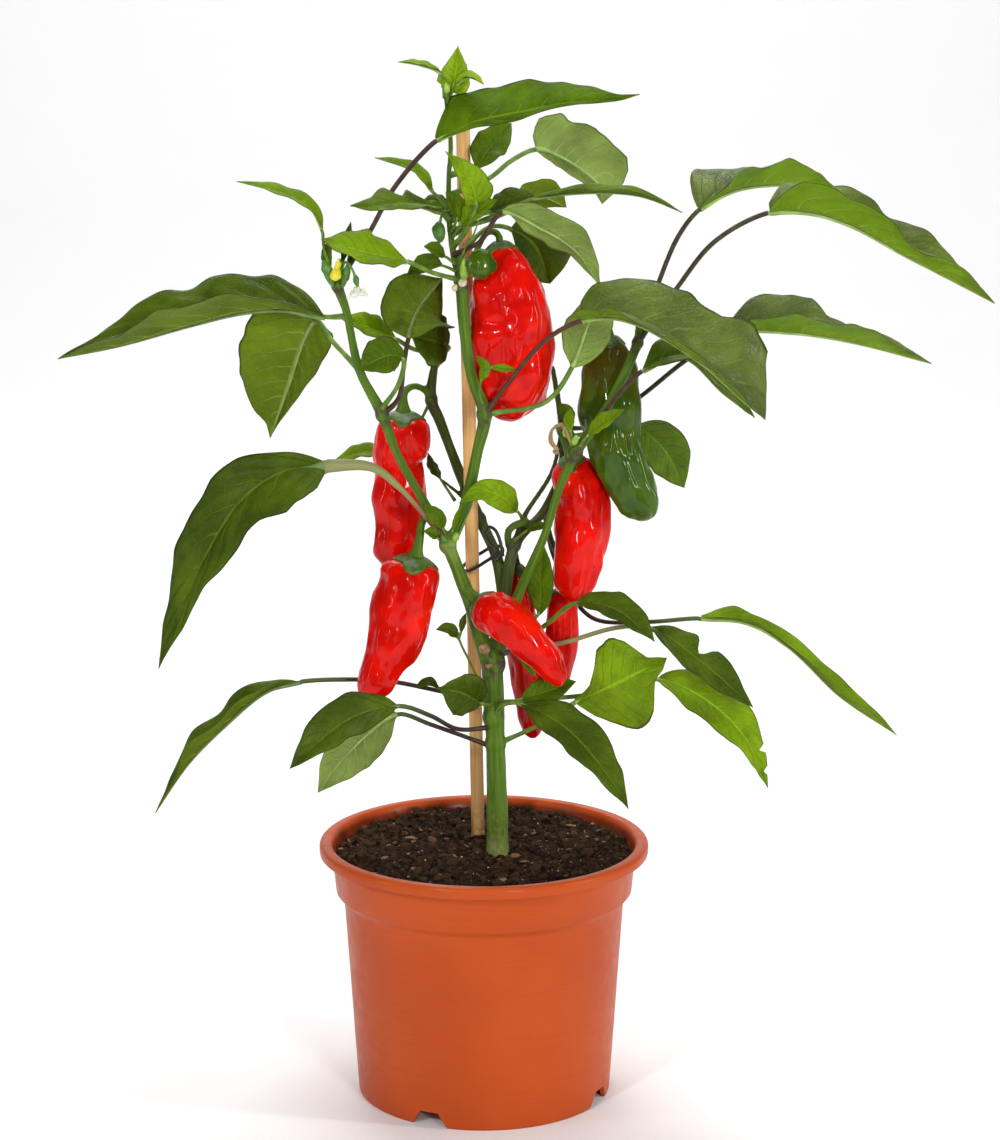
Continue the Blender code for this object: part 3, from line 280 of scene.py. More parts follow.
        [(5, -4, 185), (29, -6, 197), (47, -6, 208.6), (67, -5, 218), (93.5, -3, 231)],
        {"outline": (((0, 0.1, 0.19, 0.32, 0.41, 0.54, 0.62, 0.7, 0.82, 0.92, 1), (0.06, 0.1, 0.17,
         0.5, 0.75, 0.86, 0.8, 0.66, 0.19, 0.1, 0)), ((0, 0.12, 0.26, 0.37, 0.55, 0.65, 0.8, 0.91,
         1), (0.06, 0.42, 0.66, 0.89, 1, 0.78, 0.26, 0.17, 0)))}),
    "low_right_notched": ("dark", "blushed", 3, 22, (0, -0.6, 0.9), (0.4, -0.7, 0.6), 15,
        [(8, 0, 232), (40, 5, 237), (68, 1, 246), (85, -4, 247), (109, -15, 233), (136, -26, 211)],
        {"cuts": ((-1, 0.42, 0.06, 0.8),)}),
    "low_right_slim": ("fresh", "mixed", 4, 17, (0, -0.22, 1), (0.5, -0.22, 0.9), 33,
        [(31, 26, 301), (37, 41, 273), (55, 41, 243), (83, 23, 244), (112, 18, 247),
        (135, 16, 245.5), (157, 15, 233), (184, 13, 207), (214, 14, 186)],
        {"ruffle": 0.1, "outline": (((0, 0.06, 0.14, 0.2, 0.3, 0.45, 0.6, 0.8, 0.93, 1), (0.2, 0.6,
         0.92, 0.72, 0.72, 0.9, 1, 0.82, 0.4, 0)), ((0, 0.06, 0.14, 0.2, 0.3, 0.45, 0.6, 0.8, 0.93,
         1), (0.2, 0.6, 0.8, 0.72, 0.72, 0.9, 1, 0.82, 0.4, 0)))}),
    "low_right_torn": ("fresh", "green", 3, 26, (0.1, -0.7, 0.8), (0.6, -0.7, 0.4), 12,
        [(7, 3, 207), (29, 6, 207), (60, 7, 210), (89, 1, 219), (112, -7, 211), (132, -18, 194),
        (144, -30, 170)],
        {"swell": 0.7, "cuts": ((-1, 0.77, 0.012, 0.55), (-1, 0.9, 0.014, 0.8), (1, 0.88, 0.02,
         0.3))}),
    "low_front_dark": ("dark", "green", 2, 26, (0.1, -0.6, 0.8), (0.6, -0.6, 0.5), 14,
        [(5, -2, 199), (11, -19, 211), (19, -26, 213), (41, -40, 204), (58, -52, 188),
        (72, -64, 169)]),
    "low_front_small": ("mid", "green", 2, 15, (0, -0.8, 0.6), (0, -0.8, 0.6), 15,
        [(5, -2, 207), (12, -9, 209), (19, -9, 211), (33, -8, 215), (47, -8, 220)]),
    "behind_arm": ("mid", "green", 2, 14, (-0.1, -1, 0.1), (-0.1, -1, 0.1), 10,
        [(12, 3, 247), (21, 7, 247), (28, 9, 251), (29, 9, 269), (30, 8, 289)]),
    "behind_pepper": ("dark", "green", 2, 40, (0, -0.9, 0.5), (0, -0.95, 0.1), 10,
        [(-13, -4, 433), (2, 19, 448), (14, 33, 446), (26, 39, 437), (34, 43, 417)]),
}

# Small leaves and bracts at the joints, in the same terms.
LEAFLETS = {
    "crown_right": ("young", "green", 1, 8, (0, -0.3, 1), (0.2, -0.4, 1), 25,
        [(-16.7, -2, 513.5), (-13.3, -6, 520.5), (-7.4, -6, 524.3), (0.5, -8, 521.0)]),
    "crown_back": ("young", "green", 1, 7, (0.1, -0.8, 0.6), (0.3, -0.5, 1), 20,
        [(-16.5, -1, 514), (-16, 3, 520), (-13, 7, 526), (-8, 9, 530)]),
    "crown_tiny": ("fresh", "green", 1, 4, (0.3, -1, 0.2), (0.3, -1, 0.2), 20,
        [(-17, -3, 512), (-18.5, -6, 518), (-19.5, -7, 523)]),
    "joint_left_upper": ("mid", "green", 1, 9, (0.2, -0.8, 0.8), (0, -0.8, 0.6), 15,
        [(-12.5, -11, 432.2), (-18.8, -15, 437.5), (-23.2, -18, 440.8), (-29, -21, 443.0)]),
    "joint_left_lower": ("mid", "green", 1, 11, (-0.1, -0.9, 0.7), (-0.4, -0.8, 0.5), 15,
        [(-12.5, -11, 429.2), (-20.4, -11, 432.5), (-27.3, -9, 433.4), (-37.8, -6, 427.5)]),
    "upper_front": ("fresh", "green", 1, 13, (-0.4, -0.9, 0.6), (-0.2, -1, 0.5), 25,
        [(-15.5, -7, 445.5), (-10.5, -15, 452.8), (-4.5, -20, 459.0), (6.8, -24, 466.0)]),
    "upper_grey": ("mid", "green", 1, 10, (0.4, -1, 0.3), (0.4, -1, 0.3), 15,
        [(-15.9, -7, 448.4), (-12.9, -13, 455.9), (-13.3, -15, 462.0), (-18.2, -18, 469.3)]),
    "upper_back_left": ("mid", "green", 1, 9, (0, -0.6, 1), (-0.2, -0.5, 1), 15,
        [(-16.2, -4, 452), (-19, 2, 458), (-24, 5, 463), (-31, 6, 462)]),
    "outer_left_tall": ("dark", "green", 1, 6, (0.8, -1, 0.2), (0.8, -1, 0.2), 15,
        [(-70.3, -33, 424.3), (-68.6, -32, 436.7), (-67.0, -30, 446.6), (-64.4, -28, 455.6)]),
    "outer_left_small": ("mid", "green", 1, 6, (-0.5, -1, 0.2), (-0.2, -1, 0.2), 15,
        [(-70.8, -33, 424.3), (-74.5, -34, 432.8), (-75.8, -36, 440.3), (-73.6, -38, 448.8)]),
    "outer_left_curl": ("dark", "green", 1, 5, (-0.6, -1, 0.3), (-0.6, -1, 0.3), 20,
        [(-70, -34, 426), (-66, -33, 434), (-62, -31, 443), (-59, -28, 452)]),
    "back_twig_leaf": ("dark", "green", 1, 9, (-0.8, -0.8, 0.3), (-0.8, -0.6, 0.3), 15,
        [(-15, 33.5, 305.8), (-22.6, 30, 318.3), (-24.6, 29, 322.7), (-28.6, 27, 331.8)]),
    "front_tall": ("fresh", "green", 2, 6, (0.3, -1, 0.3), (0.3, -1, 0.3), 15,
        [(1.4, -17, 360.6), (-1.6, -23, 369.4), (-0.9, -29, 378.0), (0.9, -31, 384.6),
        (-3.3, -31, 390.4)]),
    "front_long": ("fresh", "green", 1, 4.5, (0.1, -1, 0.5), (0.1, -1, 0.5), 15,
        [(0.4, -30, 383), (4, -31, 384.4), (9.8, -31, 384.0), (16.2, -30, 383.0)]),
    "right_joint": ("fresh", "green", 1, 10, (-0.5, -0.9, 0.7), (-0.4, -0.8, 0.7), 18,
        [(47.5, -9, 340.6), (52.3, -15, 348.2), (57.7, -18, 353.5), (70.0, -20, 362.0)]),
    "right_joint_small": ("fresh", "green", 1, 6, (0, -1, 0.3), (0.3, -1, 0.3), 15,
        [(45, -8, 342), (43.5, -10, 349.3), (42.6, -8, 354.8), (44, -5, 360)]),
    "right_joint_pale": ("mid", "green", 1, 8, (0.2, -1, 0.3), (0, -1, 0.4), 15,
        [(47, -4, 342), (43.5, 2, 350.3), (41.6, 4, 356.8), (38, 6, 361)]),
    "left_joint_tall": ("mid", "green", 1, 9, (-0.2, -1, 0.5), (-0.4, -1, 0.5), 18,
        [(-17.4, -13, 291.6), (-20.3, -18, 301.3), (-22.7, -20, 306.6), (-30.1, -22, 314.5)]),
    "left_joint_small": ("fresh", "green", 1, 3.5, (-0.6, -1, 0.2), (-0.6, -1, 0.2), 15,
        [(-17.4, -13, 291.6), (-15.3, -18, 300.4), (-13.4, -20, 306.3), (-10.2, -20, 314.3)]),
    "left_joint_low": ("mid", "green", 1, 6, (0, -1, 0.6), (0, -1, 0.6), 15,
        [(-19, -13, 290.6), (-23, -17, 296.4), (-26, -19, 299.3), (-30, -20, 300.3)]),
    "trunk_twig": ("dark", "green", 3, 7, (0, -1, 0.6), (0, -0.9, 0.8), 20,
        [(-0.9, -3, 214.0), (-5.9, -9, 228.0), (-10.6, -12, 238.4), (-13.2, -13, 244.3),
        (-18.0, -15, 249.0), (-24.0, -16, 248.9)]),
    "trunk_twig_up": ("dark", "green", 1, 5, (-0.9, -1, 0.1), (-0.9, -1, 0.1), 20,
        [(-12.8, -13, 243.3), (-11.4, -13.5, 247.5), (-10, -13, 251.5), (-8.9, -12, 256.5)]),
    "low_twig": ("dark", "green", 1, 6, (0, -0.8, 1), (0, -0.8, 1), 15,
        [(-17, -5, 214), (-23.3, -7, 216.7), (-27.4, -8, 219.6), (-35.0, -9, 217.0)]),
    "fork_bract": ("fresh", "green", 1, 6, (0.3, -1, 0.5), (0.3, -1, 0.5), 15,
        [(12, -2, 240), (18, -10, 235), (22, -13, 231), (26, -15, 224)]),
    "rear_bract": ("dark", "green", 1, 5, (0, -1, 0.6), (0, -1, 0.6), 20,
        [(15, 10, 289), (22, 3, 296), (28, -1, 299), (35, -3, 300)]),
}

# Buds: the middle, the way each hangs, its length, its radius and its colour.
BUDS = {
    "bud_crown": ((-21.8, -9, 448.7), (0.1, 0, -1), 11, 3.4, "green"),
    "bud_crown_top": ((-17.9, -6, 519), (-0.2, -0.2, 1), 6, 1.9, "pale"),
    "bud_yellow": ((-71.2, -39.5, 431.6), (0.15, 0.2, 1), 7.4, 3.1, "yellow"),
    "bud_yellow_neck": ((-70.5, -39, 435.4), (-0.25, -0.1, -1), 6, 1.7, "yellow"),
    "joint_swell_left": ((-75.3, -36, 431.5), (0.35, -0.1, -1), 14, 2.9, "green"),
    "joint_swell_right": ((-67.0, -35.5, 430), (-0.25, 0, -1), 12, 2.3, "green"),
    "flower_cap": ((-61.5, -40, 428.0), (0.12, -0.1, -1), 6, 1.7, "green"),
    "bud_left_upper": ((-66.5, -38, 447), (0.3, -0.1, 1), 7, 2.0, "green"),
    "bud_left_joint": ((-14, -18, 297), (0.2, -0.5, 1), 6, 2.2, "pale"),
    "bud_left_joint_low": ((-20, -18, 296), (-0.5, -0.5, 1), 5, 1.8, "green"),
    "bud_right_a": ((41.4, -8, 348.7), (-0.2, -0.3, 1), 7, 2.1, "pale"),
    "bud_right_b": ((45.9, -11, 345.0), (0.3, -0.4, 1), 6, 1.9, "pale"),
    "bud_stub": ((-9.3, -17.5, 431.0), (0, -0.1, 1), 11, 2.6, "pale"),
    "scar_leader": ((-10.0, -14.5, 424.5), (0.3, -0.5, -0.2), 3.4, 2.6, "corky"),
    "scar_leader_left": ((-14.2, -12.5, 421.6), (-0.6, -0.5, 0), 3.2, 2.0, "corky"),
    "scar_trunk": ((0.2, -6.6, 236.8), (-0.5, -0.8, 0.4), 6, 3.0, "bark"),
    "scar_trunk_low": ((3.0, -6.2, 228), (-0.3, -1, 0.2), 4.5, 2.6, "bark"),
    "scar_right": ((36.2, -9.5, 339), (-0.5, -0.8, 0), 4, 1.8, "bark"),
}

# Bare threads: the stalks of a withered flower, the flower and the buds, and young shoots.
THREADS = {
    "withered_flower": ([(44.4, -9, 342), (38.8, -12, 352.9), (34.3, -13, 350.2),
        (33.8, -13, 344.7), (37.3, -12, 340.0)], [0.9, 0.9, 0.8, 1.3, 1.0], "bark"),
    "bud_crown_stalk": ([(-16.4, -6, 459.3), (-19.8, -8, 458.0), (-21.5, -9, 452.7)], [0.7, 0.6,
        0.8], "green"),
    "bud_yellow_stalk": ([(-70.5, -33, 428), (-69.5, -37, 436), (-69.8, -39, 438)], [0.9, 0.9, 1.1],
        "green"),
    "flower_stalk": ([(-69, -35, 432), (-67, -38, 437), (-65, -39.5, 436.3), (-62.8, -40, 432.4),
        (-61.8, -40, 429.0)], [0.7, 0.7, 0.6, 0.6, 0.9], "green"),
    "crown_thread": ([(-13, -11, 430), (-9, -19, 441), (-5, -22, 448), (-2, -23, 456)], [0.8, 0.6,
        0.5, 0.3], "green"),
    "centre_thread": ([(-13, -15, 297), (-9, -18, 306), (-6, -19, 313), (-4.5, -20, 319)], [0.6,
        0.5, 0.4, 0.3], "green"),
}

FLOWER_PLACE = (-61.1, -40, 425.4)
FLOWER_FACE = (0.2, -0.25, -1)
PETALS = 6

TIE_ROUTE = [
    (9.8, 10, 281.5), (8.3, 8.5, 289.6), (5.8, 9.5, 295.1), (2.7, 12, 296.2), (1.1, 14, 292.6),
    (2.7, 12, 288.9), (5.7, 10, 285.6), (4.7, 10, 281.5), (0.6, 12, 277.9), (-4.5, 14.5, 274.2),
    (-8.6, 16.5, 272.3), (-11.3, 21, 272.4), (-9.2, 25.5, 274.6), (-5.6, 27.5, 276.8),
    (-1.5, 26.5, 279.6), (3.2, 23.5, 282.9), (7.8, 20, 284.6), (9.8, 15, 283.6), (8.3, 11, 280.7),
    (5.2, 9.5, 279.0),
]
TIE_RADIUS = 0.9

STAKE_FOOT = (-1.2, 27.5, 28.0)
STAKE_TOP = (-10.3, 15.7, 503.0)
STAKE_RADIUS = 3.5

# The pot's section, from the middle of its floor over the rim to the middle of its underside.
POT_PROFILE = [
    (0, 1.5), (33.2, 1.5), (34.2, 1.9), (37.2, 9.0), (38.2, 9.8), (63.4, 9.8), (64.3, 10.6), (70.9,
    104.8), (71.1, 105.8), (74.6, 107.4), (75.0, 108.4), (77.0, 128.4), (77.6, 130.4), (78.2,
    132.2), (78.8, 133.3), (79.9, 133.95), (81.0, 134.0), (83.0, 134.0), (84.0, 133.7), (84.7,
    133.0), (85.0, 132.0), (85.0, 129.3), (84.8, 128.4), (84.1, 128.05), (79.4, 128.0), (78.7,
    127.7), (78.5, 127.0), (76.5, 108.5), (76.1, 107.9), (73.1, 105.4), (72.6, 104.6), (72.4,
    103.6), (65.7, 1.6), (65.4, 0.5), (64.8, 0.0), (63.8, 0.0), (63.3, 0.3), (63.4, 8.0), (62.9,
    8.3), (38.6, 8.3), (37.9, 8.0), (34.4, 0.4), (33.6, 0.0), (0, 0),
]
NOTCH_AZIMUTHS = (-115.0, -25.0, 65.0, 155.0)
NOTCH_OUTLINE = ((-10.5, -1), (-5.9, 6.6), (-5.2, 7.6), (-4.2, 8.0), (4.2, 8.0), (5.2, 7.6),
                 (5.9, 6.6), (10.5, -1))
NOTCH_REACH = (57.5, 73.5)
DRAIN_PLACE = (52, 9)
DRAIN_RADIUS = 4.5

SOIL_RADIUS = 76.4
SOIL_LEVEL = 126.6
# The soil's wall inside the pot: height and radius, from the top down.
SOIL_WALL = ((118, 76.0), (108, 74.6), (105, 70.6), (11, 63.6), (11, 38.5), (3, 33.5))

# Lamps in metres and watts: place, aim, width, height and power.
LAMPS = {
    "key": ((-1.1, -1.9, 1.5), (0, 0, 0.3), 0.2, 0.2, 18),
    "front": ((0.9, -2.3, 0.75), (0, 0, 0.3), 0.3, 0.3, 19),
    "glint": ((-0.45, -2.2, 1.0), (0, 0, 0.3), 0.05, 0.9, 4),
    "glint_right": ((0.75, -1.7, 1.3), (0, 0, 0.3), 0.05, 0.9, 4),
    "left": ((-1.7, -0.6, 0.7), (0, 0, 0.3), 0.08, 1.2, 4.5),
    "right": ((1.7, -0.5, 0.8), (0, 0, 0.3), 0.08, 1.2, 13),
    "top": ((0.2, 0.1, 1.9), (0, 0, 0.3), 0.9, 0.9, 10),
    "sheen": ((-0.4, 1.6, 1.7), (0, 0, 0.35), 0.9, 0.9, 9),
    "backdrop": ((0, 1.2, 3.2), (0, 3.3, 1.2), 2.0, 2.0, 80),
}
SKY_LIGHT = 0.10
# The camera: its place in metres, its tilt in degrees and its lens in millimetres.
CAMERA_PLACE = (0.0083, -1.56, 0.605)
CAMERA_TILT = 78.1
CAMERA_LENS = 99.1

# ---------------------------------------------------------------- curves and noise

PER_SPAN = 16


def unit(vectors):
    """The vectors at length one, along the last axis."""
    return vectors / np.linalg.norm(vectors, axis=-1, keepdims=True)


def circle(count):
    """Even angles round a circle."""
    return np.arange(count) * 2 * math.pi / count


def lerp(start, end, t, t_start, t_end):
    """The point at t on the line from start at t_start to end at t_end."""
    return start + (end - start) * (t - t_start) / (t_end - t_start)


def smooth_curve(points, per_span=PER_SPAN):
    """A centripetal Catmull-Rom curve through the points, sampled per_span times a span."""
    pts = np.array(points, float)
    pts = np.concatenate([[2 * pts[0] - pts[1]], pts, [2 * pts[-1] - pts[-2]]])
    samples = []
    for a, b, c, d in zip(pts, pts[1:], pts[2:], pts[3:]):
        knots = np.cumsum([0] + [np.linalg.norm(q - p) ** 0.5 for p, q in ((a, b), (b, c), (c, d))])
        t = np.linspace(knots[1], knots[2], per_span, endpoint=False)[:, None]
        ab, bc, cd = (lerp(p, q, t, knots[i], knots[i + 1])
                      for i, (p, q) in enumerate(((a, b), (b, c), (c, d))))
        abc = lerp(ab, bc, t, knots[0], knots[2])
        bcd = lerp(bc, cd, t, knots[1], knots[3])
        samples.append(lerp(abc, bcd, t, knots[1], knots[2]))
    return np.concatenate(samples + [[pts[-2]]])


def lengths(curve):
    """The distance along the curve at each of its samples."""
    return np.concatenate([[0], np.cumsum(np.linalg.norm(np.diff(curve, axis=0), axis=1))])


def resample(curve, distances):
    """The points and the directions at the distances along the curve."""
    marks = lengths(curve)

    def at(where):
        return np.stack([np.interp(where, marks, curve[:, axis]) for axis in range(3)], -1)

    distances = np.asarray(distances, float)
    ahead = np.minimum(distances + 1.5, marks[-1])
    behind = np.maximum(distances - 1.5, 0)
    return at(distances), unit(at(ahead) - at(behind))


def ripple(points, size, seed, count=20):
    """Smooth noise of about unit height, with features of about the size, at the points."""
    dice = np.random.default_rng(seed)
    way = unit(dice.normal(size=(count, 3))) * (2 * math.pi / size)
    way = way * dice.uniform(0.5, 1.3, (count, 1))
    phase = dice.uniform(0, 2 * math.pi, count)
    return np.sin(points @ way.T + phase).sum(-1) / math.sqrt(count / 2)


def seed_of(name):
    """A fixed number for a name."""
    return sum((i + 3) * ord(letter) for i, letter in enumerate(name))


# ---------------------------------------------------------------- meshes and pieces


def mesh_from(name, points, faces, closed=True):
    """A smooth-shaded mesh, its points given in millimetres; a closed one is turned outwards."""
    mesh = bpy.data.meshes.new(name)
    mesh.from_pydata((np.asarray(points) * MM).tolist(), [], faces)
    mesh.shade_smooth()
    mesh.update()
    if closed:
        shell = bmesh.new()
        shell.from_mesh(mesh)
        bmesh.ops.recalc_face_normals(shell, faces=shell.faces)
        shell.to_mesh(mesh)
        shell.free()
    return mesh


def show(name, data):
    """A new object in the scene."""
    made = bpy.data.objects.new(name, data)
    bpy.context.scene.collection.objects.link(made)
    return made


def piece(name, mesh, materials, slot, *nodes):
    """A finished piece of the plant, on its one body, that stands for the named CAD nodes."""
    for material in materials:
        mesh.materials.append(material)
    made = show(name, mesh)
    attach(made, "root")
    if nodes:
        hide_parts(*nodes)


def grid_faces(rows, columns, closed=False, offset=0):
    """The quads of a grid of points, row after row, closed round its columns if asked."""
    faces = []
    for i in range(rows - 1):
        for j in range(columns if closed else columns - 1):
            k = (j + 1) % columns
            faces.append((offset + i * columns + j, offset + i * columns + k,
                          offset + (i + 1) * columns + k, offset + (i + 1) * columns + j))
    return faces


def tube_faces(rows, sides, offset=0):
    """A closed tube's faces with both ends capped."""
    faces = grid_faces(rows, sides, True, offset)
    faces.append(tuple(offset + j for j in range(sides))[::-1])
    faces.append(tuple(offset + (rows - 1) * sides + j for j in range(sides)))
    return faces


def sheet_faces(rows, columns):
    """The faces of a thin sheet, made of an upper and a lower grid: upper, lower and rim.

    Both sides split along the same diagonal, so neither shows through the other.
    """
    count = rows * columns
    upper = grid_faces(rows, columns)
    lower = [tuple(i + count for i in face[:1] + face[:0:-1]) for face in upper]
    rim = [i * columns for i in range(rows)]
    rim += [(rows - 1) * columns + j for j in range(1, columns)]
    rim += [i * columns + columns - 1 for i in range(rows - 2, -1, -1)]
    rim += list(range(columns - 2, 0, -1))
    return upper, lower, [(a, a + count, b + count, b) for a, b in zip(rim, rim[1:] + rim[:1])]


def rings_round(centre, across, up, radii, sides):
    """Rings of points round the centres, each in the plane of its across and up."""
    angle = circle(sides)[None, :, None]
    ring = np.cos(angle) * across[:, None] + np.sin(angle) * up[:, None]
    return (centre[:, None] + radii[:, None, None] * ring).reshape(-1, 3)


def tube(curve, stations, radii, sides):
    """The points and faces of a capped tube along a curve, in a frame that doesn't twist."""
    centre, direction = resample(curve, stations)
    helper = (0, 0, 1.0) if abs(direction[0][2]) < 0.9 else (1.0, 0, 0)
    across = [unit(np.cross(direction[0], helper))]
    for ahead in direction:
        across.append(unit(across[-1] - ahead * across[-1].dot(ahead)))
    across = np.array(across[1:])
    points = rings_round(centre, across, np.cross(across, direction), np.asarray(radii), sides)
    return points, tube_faces(len(stations), sides)


def join(parts):
    """One list of points and one of faces from several."""
    points, faces, start = [], [], 0
    for part_points, part_faces in parts:
        points.append(part_points)
        faces += [tuple(i + start for i in face) for face in part_faces]
        start += len(part_points)
    return np.concatenate(points), faces


def ball(subdivisions, radius):
    """The points and faces of a small ball."""
    shell = bmesh.new()
    bmesh.ops.create_icosphere(shell, subdivisions=subdivisions, radius=radius)
    points = np.array([vertex.co for vertex in shell.verts])
    faces = [tuple(vertex.index for vertex in face.verts) for face in shell.faces]
    shell.free()
    return points, faces


def modified(mesh, kind, **settings):
    """The mesh after one modifier."""
    holder = show("holder", mesh)
    modifier = holder.modifiers.new(kind, kind)
    for setting, value in settings.items():
        setattr(modifier, setting, value)
    bpy.context.view_layer.update()
    depsgraph = bpy.context.evaluated_depsgraph_get()
    result = bpy.data.meshes.new_from_object(holder.evaluated_get(depsgraph))
    bpy.data.objects.remove(holder)
    return result


def coordinates(mesh):
    """The mesh's points in millimetres."""
    found = np.empty(len(mesh.vertices) * 3, np.float32)
    mesh.vertices.foreach_get("co", found)
    return found.reshape(-1, 3).astype(float) / MM


def give(mesh, name, values):
    """Store a number or a vector for each vertex."""
    values = np.asarray(values, np.float32)
    kind, field = ("FLOAT", "value") if values.ndim == 1 else ("FLOAT_VECTOR", "vector")
    mesh.attributes.new(name, kind, "POINT").data.foreach_set(field, values.ravel())


# ---------------------------------------------------------------- materials


class Shader:
    """One Principled material and the nodes that drive it."""

    def __init__(self, name):
        self.material = bpy.data.materials.new(name)
        self.material.use_nodes = True
        self.tree = self.material.node_tree
        self.principled = self.tree.nodes["Principled BSDF"]
        self.places = self.node("ShaderNodeTexCoord").outputs["Object"]

    def node(self, kind, **settings):
        made = self.tree.nodes.new(kind)
        for setting, value in settings.items():
            setattr(made, setting, value)
        return made

    def feed(self, socket, value):
        if isinstance(value, bpy.types.NodeSocket):
            self.tree.links.new(value, socket)
        elif isinstance(value, tuple) and len(value) == 3 and socket.type == "RGBA":
            socket.default_value = (*value, 1)
        else:
            socket.default_value = value

    def math(self, operation, *values, clamp=False):
        made = self.node("ShaderNodeMath", operation=operation, use_clamp=clamp)
        for socket, value in zip(made.inputs, values):
            self.feed(socket, value)
        return made.outputs[0]

    def times(self, first, second):
        return self.math("MULTIPLY", first, second)

    def plus(self, first, second):
        return self.math("ADD", first, second)

    def minus(self, first, second):
        return self.math("SUBTRACT", first, second)

    def mix(self, share, first, second):
        made = self.node("ShaderNodeMix", data_type="RGBA")
        for index, value in ((0, share), (6, first), (7, second)):
            self.feed(made.inputs[index], value)
        return made.outputs[2]

    def ease(self, value, low, high, start=0.0, end=1.0):
        made = self.node("ShaderNodeMapRange", interpolation_type="SMOOTHSTEP")
        for socket, setting in zip(made.inputs, (value, low, high, start, end)):
            self.feed(socket, setting)
        return made.outputs[0]

    def texture(self, kind, inputs, places=None, **settings):
        made = self.node(kind, **settings)
        self.feed(made.inputs["Vector"], places or self.places)
        for name, value in inputs.items():
            made.inputs[name].default_value = value
        return made.outputs[0]

    def scaled(self, factors):
        return self.texture("ShaderNodeMapping", {"Scale": factors})

    def noise(self, size, detail=3.0, roughness=0.5, places=None, distortion=0.0):
        """Noise from 0 to 1 with features of about the size in millimetres."""
        return self.texture("ShaderNodeTexNoise", {
            "Scale": 1 / (size * MM), "Detail": detail, "Roughness": roughness,
            "Distortion": distortion}, places)

    def cells(self, size, feature="DISTANCE_TO_EDGE"):
        return self.texture("ShaderNodeTexVoronoi", {"Scale": 1 / (size * MM)}, feature=feature)

    def patches(self, size, detail, low, high, start=0.0, end=1.0):
        """Soft-edged patches: noise of the size, eased from low to high."""
        return self.ease(self.noise(size, detail), low, high, start, end)

    def mottle(self, colour, other, *patches):
        """The colour with patches of the other."""
        return self.mix(self.patches(*patches), colour, other)

    def attribute(self, name, output="Fac"):
        return self.node("ShaderNodeAttribute", attribute_name=name).outputs[output]

    def split(self, vector):
        made = self.node("ShaderNodeSeparateXYZ")
        self.feed(made.inputs[0], vector)
        return made.outputs

    def leaf_places(self):
        """The place along the leaf and across it, each from 0 to 1."""
        return self.split(self.node("ShaderNodeUVMap", uv_map="Leaf").outputs[0])[:2]

    def bump(self, height, depth, strength=1.0, under=None):
        """A bump of the depth in millimetres for a height of one."""
        made = self.node("ShaderNodeBump")
        made.inputs["Strength"].default_value = strength
        made.inputs["Distance"].default_value = depth * MM
        self.feed(made.inputs["Height"], height)
        if under:
            self.feed(made.inputs["Normal"], under)
        return made.outputs[0]

    def finish(self, colour, roughness, normal, **constants):
        inputs = self.principled.inputs
        for name, value in (("Base Color", colour), ("Roughness", roughness), ("Normal", normal)):
            self.feed(inputs[name], value)
        for name, value in constants.items():
            inputs[name.replace("_", " ")].default_value = value
        return self.material


VEIN_PAIRS = 8.0
VEIN_SLANT = 0.24
VEIN_CURVE = 1.25
VEIN_SHIFT = 0.22

# Each tone's upper colour, underside colour and the gloss of its upper side. The underside colours
# are paler, as real undersides are, and also brightened as a painted glow of light shining through
# the blade.
LEAF_COLOURS = {
    "deep": ((0.046, 0.092, 0.0005), (0.128, 0.210, 0.008), 0.04),
    "dark": ((0.038, 0.066, 0.001), (0.120, 0.188, 0.006), 0.11),
    "mid": ((0.054, 0.098, 0.001), (0.130, 0.208, 0.006), 0.08),
    "fresh": ((0.105, 0.178, 0.002), (0.165, 0.255, 0.008), 0.08),
    "young": ((0.185, 0.300, 0.003), (0.210, 0.320, 0.008), 0.12),
    # painted sheen: this tone's upper colour is lightened and greyed towards grey-green
    "arched": ((0.058, 0.086, 0.006), (0.158, 0.285, 0.006), 0.30),
    "sage": ((0.052, 0.095, 0.002), (0.235, 0.335, 0.065), 0.12),
}

# Each petiole skin's two shades, then where it turns to the shade at the blade, and that shade.
PETIOLE_COLOURS = {
    "green": ((0.085, 0.165, 0.014), (0.16, 0.26, 0.03)),
    "purple": ((0.045, 0.014, 0.012), (0.065, 0.040, 0.014)),
    "red": ((0.085, 0.022, 0.014), (0.075, 0.045, 0.016)),
    "olive": ((0.032, 0.024, 0.009), (0.060, 0.056, 0.018)),
    "mixed": ((0.034, 0.014, 0.013), (0.050, 0.036, 0.015), 0.6, (0.060, 0.100, 0.016)),
    "blushed": ((0.20, 0.060, 0.062), (0.15, 0.090, 0.052), 0.15, (0.24, 0.25, 0.09)),
}


def tinted(colour, factor, more=(0, 0, 0)):
    """The colour made lighter or darker, with a little more of each channel."""
    return tuple(min(1, c * factor + extra) for c, extra in zip(colour, more))


def leaf_veins(shader):
    """The leaf's own marks: how far out each place is, and how strongly midrib, side veins and fine
    veins show there."""
    along, across = shader.leaf_places()
    side = shader.minus(across, 0.5)
    out = shader.times(shader.math("ABSOLUTE", side), 2.0)
    midrib = shader.ease(out, 0.015, 0.06, 1.0, 0.0)
    bend = shader.times(shader.math("POWER", out, VEIN_CURVE), VEIN_SLANT)
    phase = shader.times(shader.minus(along, bend), VEIN_PAIRS)
    shift = shader.times(shader.math("SIGN", side), VEIN_SHIFT)
    wobble = shader.times(shader.minus(shader.noise(12, 1), 0.5), 0.5)
    apart = shader.math("PINGPONG", shader.plus(shader.plus(phase, shift), wobble), 0.5)
    thin = shader.ease(out, 0.0, 0.95, 0.075, 0.02)
    side_veins = shader.math("SUBTRACT", 1.0, shader.math("DIVIDE", apart, thin), clamp=True)
    side_veins = shader.times(side_veins, shader.ease(out, 0.82, 0.98, 1.0, 0.0))
    fine = shader.ease(shader.cells(2.6), 0.0, 0.10, 1.0, 0.0)
    return out, midrib, side_veins, fine


